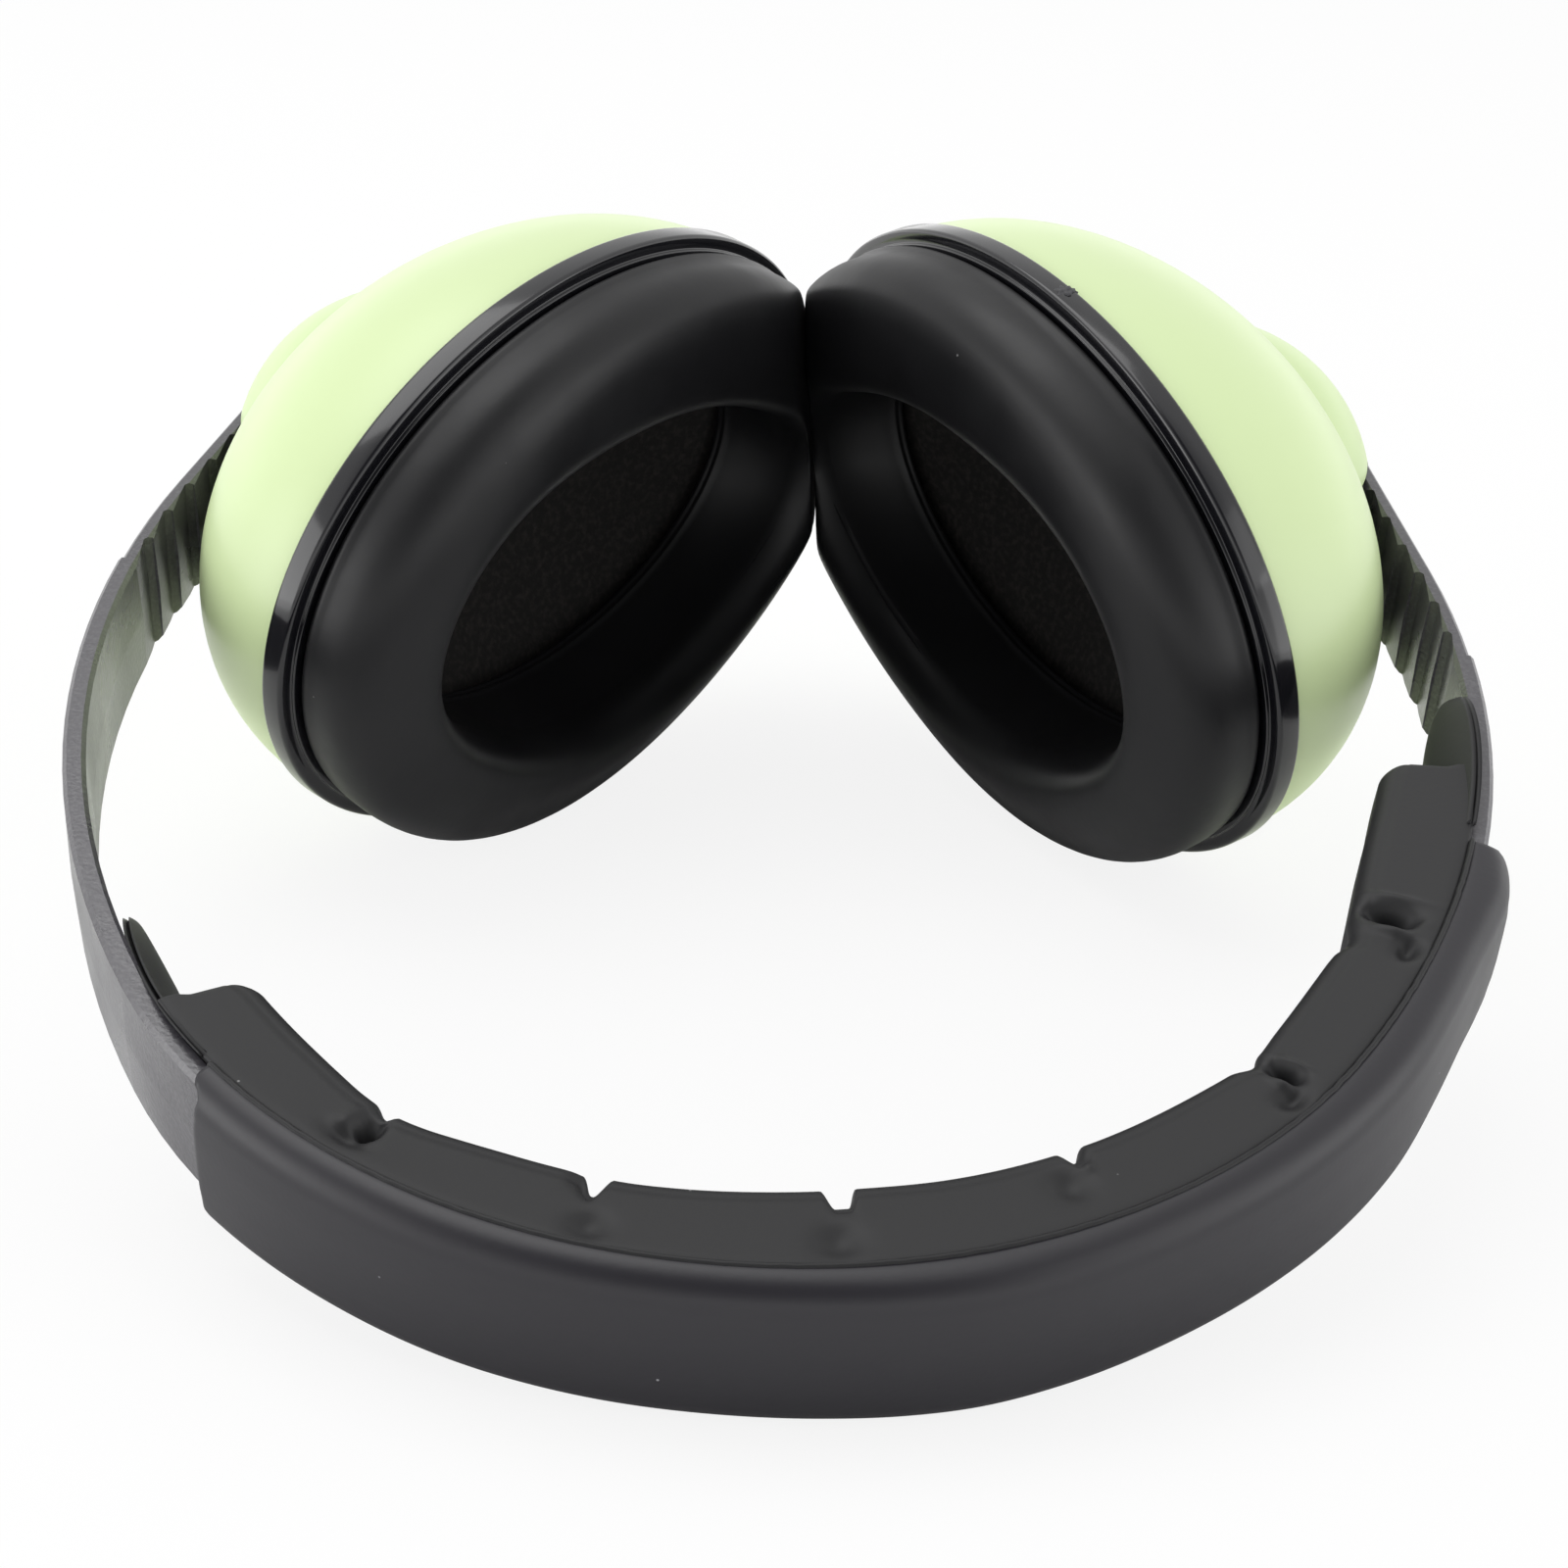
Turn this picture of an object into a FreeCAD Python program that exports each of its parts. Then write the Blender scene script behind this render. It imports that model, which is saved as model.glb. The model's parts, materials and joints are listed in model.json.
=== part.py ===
import FreeCAD, Part
import math
import os
import Sketcher
from FreeCAD import Placement, Rotation, Vector

# Child's passive ear defender, lying on a table as it lies when it is put down: the crown of the
# band and the rims of both cups touch the table. Lengths are in millimetres, angles in degrees.

os.makedirs("parts", exist_ok=True)
doc = FreeCAD.newDocument("ear_defender")

# Driving dimensions: name, value, what it is
SIZES = [
    ("crown_radius", 58.0, "inner face of the strap over the head"),
    ("crown_angle", 58.2, "half of the crown arc"),
    ("side_radius", 104.5, "flatter arc at each side of the head"),
    ("side_angle", 44.0, "turn of the side arc"),
    ("arm_length", 27.2, "straight end of the strap"),
    ("strap_width", 12.4, "front to back"),
    ("strap_thick", 2.1, "over the head"),
    ("arm_thick", 1.75, "where the caps slide"),
    ("strap_crest", 0.15, "height of the middle line above the edges"),
    ("strap_bevel", 0.4, "broken edges of the strap"),
    ("step_back", 15.4, "from the start of the straight end back to the step"),
    ("notch_pitch", 5.4, "one click of height"),
    ("notch_depth", 0.55, "depth of a click notch"),
    ("notch_ramp", 4.5, "long side of a notch"),
    ("notch_rise", 0.8, "steep side of a notch"),
    ("arm_notches", 5, "notches on the straight end"),
    ("side_notches", 3, "notches on the side arc"),
    ("sleeve_start", -45.0, "left end of the sleeve along the strap"),
    ("sleeve_end", 93.0, "right end of the sleeve along the strap"),
    ("sleeve_height", 15.2, "front to back"),
    ("sleeve_skin", 1.5, "outer skin of the sleeve"),
    ("sleeve_lip", 0.9, "edge that folds over the strap"),
    ("sleeve_gap", 0.25, "play between sleeve and strap"),
    ("pad_start", -54.8, "left end of the padding"),
    ("pad_end", 104.0, "right end of the padding"),
    ("first_seam", -31.8, "first pinch between two pads"),
    ("seam_pitch", 21.3, "from pinch to pinch"),
    ("seam_count", 6, "pinches along the padding"),
    ("pad_depth", 7.9, "thickness of the padding"),
    ("pad_height", 14.4, "front to back"),
    ("pad_round", 2.2, "rounding of each pad"),
    ("seam_depth", 2.4, "depth of a pinch"),
    ("seam_width", 5.6, "mouth of a pinch"),
    ("seam_round", 3.4, "rounding of a pinch"),
    ("seam_floor", 0.1, "flat at the bottom of a pinch"),
    ("pad_taper", 0.5, "each long edge of a pad drawn in towards the head"),
    ("pad_skin", 0.7, "skin of the padding"),
    ("left_tab_length", 19.5, "flat tongue at the left end of the padding"),
    ("right_tab_length", 13.0, "flat tongue at the right end of the padding"),
    ("tab_root", 1.0, "tongue rooted in the padding"),
    ("tab_lift", 0.15, "tongue off the strap beyond the sleeve's own play"),
    ("tab_width", 12.6, "root of the tongue"),
    ("tab_tip", 3.0, "tip of the tongue"),
    ("tab_thick", 0.8, "thickness of the tongue"),
    ("wrap_root", 0.4, "edges of the padding rooted in its back"),
    ("cut_over", 0.3, "cutters start this far outside what they cut"),
    ("ball_drop", 10.4, "from the strap's inner face in to the ball's centre"),
    ("left_reach", 20.2, "ball of the left cup along the straight end"),
    ("right_reach", 25.6, "ball of the right cup along the straight end"),
    ("ball_radius", 5.0, "ball of the pivot stud"),
    ("neck_radius", 1.8, "neck of the pivot stud"),
    ("shank_radius", 2.4, "shank of the stud in the slider base"),
    ("stud_collar", 3.0, "collar below the slider base"),
    ("stud_head", 3.2, "riveted head above the slider base"),
    ("head_thick", 0.8, "thickness of the riveted head"),
    ("shank_play", 0.05, "running fit of the shank"),
    ("ball_play", 0.08, "running fit of the ball and of the bush"),
    ("bush_wall", 1.4, "wall of the socket bush"),
    ("bush_mouth", 50.0, "half angle of the bush's mouth"),
    ("bush_bottom", 130.0, "angle where the bush ends"),
    ("boss_wall", 1.6, "wall of the socket boss"),
    ("boss_top", 3.6, "boss above the ball's centre"),
    ("cap_radius", 18.5, "dome of the pivot cap"),
    ("cap_height", 13.6, "dome above the ball's centre"),
    ("cap_wall", 1.3, "wall of the dome"),
    ("slot_play", 0.2, "play of the strap in the cap"),
    ("mouth_low", 4.0, "lower edge of the dome's mouth under the strap, towards the headband"),
    ("base_radius", 9.9, "slider base inside the dome"),
    ("base_thick", 1.6, "slider base"),
    ("base_top", 9.0, "top of the slider base above the ball's centre"),
    ("rail_width", 1.0, "guide rail under the strap"),
    ("rail_length", 12.0, "guide rail under the strap"),
    ("rail_spread", 10.2, "middle to middle of the two rails"),
    ("rail_play", 0.12, "rails and click tongue below the strap"),
    ("rail_root", 0.2, "rails rooted in the slider base"),
    ("tongue_width", 5.0, "click tongue"),
    ("tongue_thick", 0.3, "click tongue"),
    ("tongue_start", -8.2, "click tongue along the strap"),
    ("tongue_length", 4.6, "click tongue along the strap"),
    ("tongue_foot", 1.4, "clamped foot of the click tongue"),
    ("hump_slope", 1.2, "slope of the tongue's hump"),
    ("hump_top", 0.8, "top of the tongue's hump"),
    ("hump_shift", 0.1, "underside of the hump against its upper side"),
    ("tongue_tip_lift", 0.2, "free tip of the click tongue off the slider base"),
    ("screw_spread", 15.8, "middle to middle of the cap screws"),
    ("screw_radius", 0.8, "thread of the cap screws"),
    ("screw_head", 1.4, "head of the cap screws"),
    ("screw_head_thick", 0.8, "head of the cap screws"),
    ("screw_depth", 1.5, "thread in the boss of the cap"),
    ("screw_boss", 1.5, "radius of the cap's screw boss"),
    ("screw_boss_height", 1.9, "screw boss of the cap"),
    ("screw_bite", 0.02, "play of the thread in the boss"),
    ("cup_long", 42.6, "half height of the shell at its rim"),
    ("cup_short", 31.4, "half width of the shell at its rim"),
    ("cup_depth", 29.5, "depth of the shell"),
    ("shell_wall", 1.8, "wall of the shell"),
    ("shell_overcut", 10.0, "degrees that the room in the shell is cut on below its rim"),
    ("ball_depth", 21.0, "ball's centre behind the rim of the shell"),
    ("ball_rise", 6.0, "ball's centre towards the headband from the cup's middle"),
    ("pocket_play", 0.4, "play round the dome in the shell's pocket"),
    ("pocket_floor", 8.2, "floor of the pocket below the ball's centre"),
    ("pocket_wall", 1.6, "wall of the pocket"),
    ("retainer_flange", 1.2, "flange of the socket retainer"),
    ("retainer_lip", 2.5, "flange beyond the plug of the retainer"),
    ("retainer_edge", 0.8, "edge of the plug round the bush"),
    ("left_tilt", 20.7, "left cup against the strap, seen from the front"),
    ("right_tilt", 22.2, "right cup against the strap, seen from the front"),
    ("cup_toe", 6.4, "each cup about its long axis"),
    ("left_twist", 4.0, "left cup about its own middle"),
    ("right_twist", 0.2, "right cup about its own middle"),
    ("rim_proud", 0.3, "rim ring outside the shell"),
    ("rim_height", 2.6, "rim ring"),
    ("lip_inset", 1.3, "second lip of the rim ring"),
    ("lip_height", 0.8, "second lip of the rim ring"),
    ("rim_round", 0.5, "rounded edges of the rim ring"),
    ("spigot_play", 0.35, "play between the rim ring's spigot and the shell"),
    ("spigot_root", 0.6, "spigot rooted in the rim ring"),
    ("spigot_height", 3.0, "spigot of the rim ring"),
    ("spigot_wall", 1.6, "wall of the spigot"),
    ("mouth_inset", 10.8, "opening of the rim ring inside the shell's outline"),
    ("cushion_inset", 0.9, "cushion inside the shell's outline"),
    ("cushion_half", 5.7, "half width of the cushion"),
    ("cushion_foot", 5.0, "half width of the cushion where it is drawn in"),
    ("cushion_belly", 6.6, "widest line of the cushion above the rim of the shell"),
    ("cushion_skin", 0.8, "skin of the cushion"),
    ("seat_play", 0.05, "between pieces that are clamped face to face"),
    ("clip_thick", 1.3, "clip ring in the back of the cushion"),
    ("clip_play", 0.1, "clip ring beside the skin of the cushion"),
    ("touch_gap", 1.5, "flattened cushions to the middle of the head gap"),
    ("liner_play", 0.3, "foam liner inside the shell"),
    ("liner_start", 0.6, "foam liner above the rim of the shell"),
    ("liner_end", 18.0, "highest part of the foam liner"),
    ("dish_inset", 7.5, "dished face of the foam liner inside the shell's outline"),
    ("dish_depth", 7.4, "dished face of the foam liner"),
    ("flat_depth", 0.5, "flat where the sleeve rests on the table"),
    ("table_block", 60.0, "block that cuts the flat"),
    ("press_block", 120.0, "block that cuts the flattened side of a cushion"),
]

sheet = doc.addObject("Spreadsheet::Sheet", "sheet")
for row, (alias, value, _) in enumerate(SIZES, start=1):
    sheet.set("A%d" % row, alias)
    sheet.set("B%d" % row, str(value))
    sheet.setAlias("B%d" % row, alias)
doc.recompute()


def size(alias):
    return float(sheet.get(alias))


def cell(text):
    """Turn the size names in a formula into sheet references."""
    out = text
    for alias, _, _ in sorted(SIZES, key=lambda row: -len(row[0])):
        out = out.replace(alias, "<<%d>>" % [row[0] for row in SIZES].index(alias))
    for index, (alias, _, _) in enumerate(SIZES):
        out = out.replace("<<%d>>" % index, "sheet." + alias)
    return out


def number(text):
    """Value of a formula of size names, for the first guess of a sketch."""
    return float(sheet.evalExpression(cell(text)))


finished = []


def finish(thing, label, placement):
    """Name a finished sub-part and put it in its place."""
    thing.Label = label
    thing.Placement = placement
    finished.append(thing)
    return thing


# Helpers for bodies and sketches

def plane_of(body, role):
    return [f for f in body.Origin.OriginFeatures if f.Role == role][0]


def outline(owner, name, steps, plane="XY_Plane", offset=None):
    """Closed sketch from steps: (x, y) draws a line to that point, (x, y, radius, side) an arc.

    The coordinates and radii are formulas of size names. side is 1 for an arc whose centre lies
    on the left of the way from point to point, and -1 for one on the right.
    """
    sketch = owner.newObject("Sketcher::SketchObject", name)
    sketch.AttachmentSupport = [(plane_of(owner, plane), "")]
    sketch.MapMode = "FlatFace"
    if offset is not None:
        sketch.AttachmentOffset = offset
    points = [Vector(number(step[0]), number(step[1]), 0) for step in steps]
    for index, step in enumerate(steps):
        start = points[index - 1]
        end = points[index]
        if len(step) == 2:
            sketch.addGeometry(Part.LineSegment(start, end), False)
            continue
        radius = number(step[2])
        chord = end - start
        left = Vector(-chord.y, chord.x, 0).normalize()
        height = math.sqrt(max(radius ** 2 - (chord.Length / 2) ** 2, 0.0))
        centre = (start + end) * 0.5 + left * (height * step[3])
        from_angle = math.atan2(start.y - centre.y, start.x - centre.x)
        to_angle = math.atan2(end.y - centre.y, end.x - centre.x)
        if step[3] < 0:
            from_angle, to_angle = to_angle, from_angle
        circle = Part.Circle(centre, Vector(0, 0, 1), radius)
        sketch.addGeometry(Part.ArcOfCircle(circle, from_angle, to_angle), False)
    for index, step in enumerate(steps):
        following = (index + 1) % len(steps)
        end_vertex = 1 if len(step) > 2 and step[3] < 0 else 2
        start_vertex = 2 if len(steps[following]) > 2 and steps[following][3] < 0 else 1
        sketch.addConstraint(Sketcher.Constraint("Coincident", index, end_vertex,
                                                 following, start_vertex))
        for kind, axis, formula in (("DistanceX", -2, step[0]), ("DistanceY", -1, step[1])):
            if abs(number(formula)) < 1e-9:
                sketch.addConstraint(Sketcher.Constraint("PointOnObject", index, end_vertex, axis))
                continue
            place = sketch.addConstraint(Sketcher.Constraint(kind, -1, 1, index, end_vertex,
                                                             number(formula)))
            sketch.setExpression("Constraints[%d]" % place, cell(formula))
        if len(step) > 2:
            place = sketch.addConstraint(Sketcher.Constraint("Radius", index, number(step[2])))
            sketch.setExpression("Constraints[%d]" % place, cell(step[2]))
    return sketch


def new_body(name):
    return doc.addObject("PartDesign::Body", name)


def pad(body, sketch, name, length, middle=False, reverse=False):
    feature = body.newObject("PartDesign::Pad", name)
    feature.Profile = sketch
    feature.setExpression("Length", cell(length))
    if middle:
        feature.SideType = "Symmetric"
    feature.Reversed = reverse
    return feature


def pierce(body, sketch, name, length=None, reverse=False):
    """Pocket right through on both sides of the sketch, or to a length."""
    feature = body.newObject("PartDesign::Pocket", name)
    feature.Profile = sketch
    feature.Reversed = reverse
    if length is None:
        feature.Type = "ThroughAll"
        feature.SideType = "Symmetric"
    else:
        feature.setExpression("Length", cell(length))
    return feature


def turn(body, sketch, name):
    """Full turn of a sketch about the upright axis."""
    feature = body.newObject("PartDesign::Revolution", name)
    feature.Profile = sketch
    feature.ReferenceAxis = (sketch, ["V_Axis"])
    feature.Angle = 360
    return feature


def primitive(kind, name, place=(None, None, None), **sizes):
    """Part primitive whose sizes and place are formulas of size names."""
    thing = doc.addObject("Part::" + kind, name)
    for key, formula in sizes.items():
        thing.setExpression(key, cell(formula))
    for axis, formula in zip("xyz", place):
        if formula is not None:
            thing.setExpression("Placement.Base." + axis, cell(formula))
    return thing


def cut(name, base, tool):
    thing = doc.addObject("Part::Cut", name)
    thing.Base = base
    thing.Tool = tool
    return thing


def join(name, *things):
    thing = doc.addObject("Part::MultiFuse", name)
    thing.Shapes = list(things)
    return thing


def overlap(name, *things):
    thing = doc.addObject("Part::MultiCommon", name)
    thing.Shapes = list(things)
    return thing


def oval(name, inset, bottom, height):
    """Oval slab: the shell's outline moved in by inset, from bottom up."""
    edge = primitive("Ellipse", name + "_edge", (None, None, bottom),
                     MajorRadius="cup_long - (%s)" % inset, MinorRadius="cup_short - (%s)" % inset)
    slab = doc.addObject("Part::Extrusion", name)
    slab.Base = edge
    slab.DirMode = "Custom"
    slab.Dir = Vector(0, 0, 1)
    slab.Solid = True
    slab.setExpression("LengthFwd", cell(height))
    return slab


# Where things are: the band lies in one plane, with the crown towards -Y and the cups towards +Y

CROWN_END = math.radians(size("crown_angle")) * size("crown_radius")


def side_centre(side):
    lean = math.radians(size("crown_angle"))
    reach = size("crown_radius") - size("side_radius")
    return Vector(side * reach * math.sin(lean), -reach * math.cos(lean), 0)


def strap_frame(side):
    """Start of the straight end, its direction away from the crown, and the way outwards."""
    lean = math.radians(size("crown_angle") + size("side_angle"))
    outward = Vector(side * math.sin(lean), -math.cos(lean), 0)
    start = side_centre(side) + outward * size("side_radius")
    along = Vector(side * math.cos(lean), math.sin(lean), 0)
    return start, along, outward


SIDES = (("left", -1), ("right", 1))


def slider_place(name, side):
    """Frame at the ball's centre: X along the strap, Z outwards."""
    start, along, outward = strap_frame(side)
    ball = start + along * size(name + "_reach") - outward * size("ball_drop")
    return Placement(ball, Rotation(along, outward.cross(along), outward, "ZXY"))


def bush_place(name, side):
    lean = Rotation(side * -size(name + "_twist"), size(name + "_tilt"), 0)
    return slider_place(name, side) * Placement(Vector(), lean)


def cup_place(name, side):
    """Frame at the middle of the shell's rim: X along its long axis, Z into the shell."""
    toe = Placement(Vector(), Rotation(Vector(1, 0, 0), -side * size("cup_toe")))
    middle = Vector(size("ball_rise"), 0, -size("ball_depth"))
    return bush_place(name, side) * toe * Placement(middle, Rotation())


def oval_low_point(place, up):
    """Lowest point of the rim ring against the direction up."""
    down = place.Rotation.inverted().multVec(up * -1)
    long_half = size("cup_long") + size("rim_proud")
    short_half = size("cup_short") + size("rim_proud")
    length = math.hypot(long_half * down.x, short_half * down.y)
    drop = -size("rim_height") if down.z < 0 else 0
    point = Vector(long_half ** 2 * down.x / length, short_half ** 2 * down.y / length, drop)
    return place.multVec(point)


def crown_low_point(up):
    """Middle of the flat where the sleeve rests, and the lowest edge before it is cut."""
    flat = Vector(up.x, up.y, 0).normalize()
    reach = size("crown_radius") + size("strap_thick") + size("sleeve_gap") + size("sleeve_skin")
    edge = flat * -reach + Vector(0, 0, -size("sleeve_height") / 2)
    return edge + up * size("flat_depth")


# The table plane touches the crown's flat and both rims; a few passes find it
LEVEL_PASSES = 30
up = Vector(0, 0.2, 1).normalize()
for _ in range(LEVEL_PASSES):
    crown = crown_low_point(up)
    low_left = oval_low_point(cup_place("left", -1), up)
    low_right = oval_low_point(cup_place("right", 1), up)
    up = (low_right - crown).cross(low_left - crown).normalize()

level = Rotation(up, Vector(0, 0, 1))
heading = level.multVec(Vector(0, 1, 0))
level = Rotation(Vector(0, 0, 1), math.degrees(math.atan2(heading.x, heading.y))) * level
lean_angle = math.acos(up.z)
flat_middle = crown + Vector(up.x, up.y, 0).normalize() * (
    0.5 * size("flat_depth") / math.sin(lean_angle))
flat_middle = flat_middle - up * (flat_middle - crown).dot(up)
WORLD = Placement(Vector(), level) * Placement(flat_middle * -1, Rotation())


# The strap: half of it is one sweep from the crown to the end of the arm, then it is mirrored

def strap_path(body, name, side_turn, arm):
    """Open path on the strap's inner face, from the crown outwards."""
    path = body.newObject("Sketcher::SketchObject", name)
    path.AttachmentSupport = [(plane_of(body, "XY_Plane"), "")]
    path.MapMode = "FlatFace"
    centre = side_centre(1)
    radius = size("crown_radius")
    side_radius = size("side_radius")
    first = math.radians(size("crown_angle") - 90)
    last = first + math.radians(number(side_turn))
    crown_arc = Part.ArcOfCircle(Part.Circle(Vector(), Vector(0, 0, 1), radius), -math.pi / 2, first)
    side_arc = Part.ArcOfCircle(Part.Circle(centre, Vector(0, 0, 1), side_radius), first, last)
    path.addGeometry(crown_arc, False)
    path.addGeometry(side_arc, False)
    rules = [("Coincident", 0, 3, -1, 1), ("PointOnObject", 0, 1, -2), ("Tangent", 0, 2, 1, 1)]
    for rule in rules:
        path.addConstraint(Sketcher.Constraint(*rule))
    sizes = [("Radius", 0, "crown_radius"), ("Radius", 1, "side_radius")]
    for kind, edge, formula in sizes:
        place = path.addConstraint(Sketcher.Constraint(kind, edge, number(formula)))
        path.setExpression("Constraints[%d]" % place, cell(formula))
    places = [(0, 2, "crown_radius * sin(crown_angle)"),
              (1, 2, "(crown_radius - side_radius) * sin(crown_angle)"
                     " + side_radius * sin(crown_angle + %s)" % side_turn)]
    for edge, vertex, formula in places:
        place = path.addConstraint(Sketcher.Constraint("DistanceX", -1, 1, edge, vertex,
                                                       number(formula)))
        path.setExpression("Constraints[%d]" % place, cell(formula))
    if arm:
        start = centre + Vector(math.cos(last), math.sin(last), 0) * side_radius
        along = Vector(-math.sin(last), math.cos(last), 0)
        path.addGeometry(Part.LineSegment(start, start + along * size("arm_length")), False)
        path.addConstraint(Sketcher.Constraint("Tangent", 1, 2, 2, 1))
        place = path.addConstraint(Sketcher.Constraint("Distance", 2, size("arm_length")))
        path.setExpression("Constraints[%d]" % place, cell("arm_length"))
    return path


def strap_section(body, name, inner, outer, crest):
    """Section of the strap at the crown: flat sides, broken edges and a slight middle crest."""
    half = "strap_width / 2"
    low = "-(crown_radius + %s)"
    rows = [(low % inner, "-%s + strap_bevel" % half),
            (low % ("%s + strap_bevel" % inner), "-" + half),
            (low % ("%s - strap_bevel" % outer), "-" + half),
            (low % outer, "-%s + strap_bevel" % half),
            (low % ("%s + %s" % (outer, crest)), "0"),
            (low % outer, "%s - strap_bevel" % half),
            (low % ("%s - strap_bevel" % outer), half),
            (low % ("%s + strap_bevel" % inner), half),
            (low % inner, "%s - strap_bevel" % half),
            (low % ("%s - %s" % (inner, crest)), "0")]
    return outline(body, name, rows, "YZ_Plane")


def sweep(body, name, section, path, count):
    feature = body.newObject("PartDesign::AdditivePipe", name)
    feature.Profile = section
    feature.Spine = (path, ["Edge%d" % (index + 1) for index in range(count)])
    return feature


def strap_spot(reach):
    """Place on the strap's inner face: X along it to the right, -Y outwards."""
    side = 1 if reach >= 0 else -1
    crown_half = math.radians(size("crown_angle")) * size("crown_radius")
    beyond = abs(reach) - crown_half
    if beyond <= 0:
        lean = abs(reach) / size("crown_radius")
        centre = Vector()
        radius = size("crown_radius")
    else:
        lean = math.radians(size("crown_angle")) + beyond / size("side_radius")
        centre = side_centre(side)
        radius = size("side_radius")
    spot = centre + Vector(side * math.sin(lean), -math.cos(lean), 0) * radius
    return Placement(spot, Rotation(Vector(0, 0, 1), side * math.degrees(lean)))


def tooth(body, name, place):
    """One click notch across the strap, at a place on its inner face."""
    rows = [("0", "cut_over"), ("0", "0"), ("notch_ramp", "-notch_depth"),
            ("notch_ramp + notch_rise", "0"), ("notch_ramp + notch_rise", "cut_over")]
    return pierce(body, outline(body, name + "_form", rows, "XY_Plane", place), name)


def make_headband():
    half = new_body("strap_half")
    thin_path = strap_path(half, "strap_line", "side_angle", True)
    thin = strap_section(half, "arm_section", "0", "arm_thick", "strap_crest")
    sweep(half, "strap_sweep", thin, thin_path, 3)
    short_turn = "(side_angle - step_back / side_radius * 180 / pi)"
    thick_path = strap_path(half, "crown_line", short_turn, False)
    thick = strap_section(half, "crown_section", "arm_thick / 2", "strap_thick", "strap_crest")
    sweep(half, "crown_sweep", thick, thick_path, 2)
    doc.recompute()
    start, along, _ = strap_frame(1)
    arm_turn = Rotation(Vector(0, 0, 1), math.degrees(math.atan2(along.y, along.x)))
    first = tooth(half, "arm_notch", Placement(start, arm_turn))
    row = half.newObject("PartDesign::LinearPattern", "arm_notches")
    row.Originals = [first]
    row.Direction = (first.Profile[0], ["H_Axis"])
    row.setExpression("Length", cell("notch_pitch * (arm_notches - 1)"))
    row.setExpression("Occurrences", cell("arm_notches"))
    half.Tip = row
    arm_start = CROWN_END + math.radians(size("side_angle")) * size("side_radius")
    for index in range(int(size("side_notches"))):
        spot = strap_spot(arm_start - (index + 1) * size("notch_pitch"))
        half.Tip = tooth(half, "side_notch_%d" % index, spot)
    doc.recompute()
    other = doc.addObject("Part::Mirroring", "strap_other_half")
    other.Source = half
    other.Normal = Vector(1, 0, 0)
    band = join("headband_form", half, other)
    band.Refine = True
    finish(band, "headband", WORLD)


# The padded sleeve round the strap: outer skin, padded inner skin and the foam in it

LEFT_TURN = "-(%s) / crown_radius * 180 / pi"
RIGHT_TURN = "((%s) / side_radius * 180 / pi - crown_angle * crown_radius / side_radius)"


def strap_run(name, rows, start, end):
    """Body with one section run along the strap from start on the left to end on the right."""
    body = new_body(name)
    lines = [("-crown_radius - (%s)" % row[0],) + tuple(row[1:]) for row in rows]
    section = outline(body, name + "_section", lines, "YZ_Plane")
    path = strap_path(body, name + "_line", RIGHT_TURN % end, False)
    sweep(body, name + "_right", section, path, 2)
    left = turn(body, section, name + "_left")
    left.setExpression("Angle", cell(LEFT_TURN % start))
    left.Reversed = True
    body.Tip = left
    return body


def make_sleeve_outer():
    inner = "(strap_thick + strap_crest + sleeve_gap)"
    outer = "(strap_thick + strap_crest + sleeve_gap + sleeve_skin)"
    half = "(sleeve_height / 2)"
    wall = "(sleeve_height / 2 - sleeve_lip)"
    rows = [("sleeve_lip", "-" + half), ("%s - sleeve_skin" % outer, "-" + half),
            (outer, "sleeve_skin - " + half, "sleeve_skin", -1), (outer, half + " - sleeve_skin"),
            ("%s - sleeve_skin" % outer, half, "sleeve_skin", -1), ("sleeve_lip", half),
            ("sleeve_lip", wall), (inner, wall), (inner, "-" + wall), ("sleeve_lip", "-" + wall)]
    body = strap_run("outer_skin", rows, "sleeve_start", "sleeve_end")
    doc.recompute()
    table = primitive("Box", "table_cutter", Length="table_block", Width="table_block",
                      Height="table_block")
    corner = Vector(-0.5, -0.5, -1) * size("table_block")
    table.Placement = WORLD.inverse() * Placement(corner, Rotation())
    finish(cut("sleeve_outer_form", body, table), "sleeve_outer", WORLD)


def pad_rows(inset):
    """Section of the padding, moved in by inset on every side."""
    near = "(0 - strap_crest - sleeve_gap - (%s))" % inset
    far = "((%s) - pad_depth)" % inset
    half = "(pad_height / 2 - (%s))" % inset
    drawn = "(pad_height / 2 - pad_taper - (%s))" % inset
    arc = "(pad_round - (%s))" % inset
    return [(near, "-" + half), (near, half), ("%s + %s" % (far, arc), drawn),
            (far, "%s - %s" % (drawn, arc), arc, -1), (far, "%s - %s" % (arc, drawn)),
            ("%s + %s" % (far, arc), "-" + drawn, arc, -1)]


def seams(body, name, rows):
    """The same pinch or wall cut across the padding at every seam."""
    for index in range(int(size("seam_count"))):
        spot = strap_spot(size("first_seam") + index * size("seam_pitch"))
        form = outline(body, "%s_form_%d" % (name, index), rows, "XY_Plane", spot)
        body.Tip = pierce(body, form, "%s_%d" % (name, index))


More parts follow.
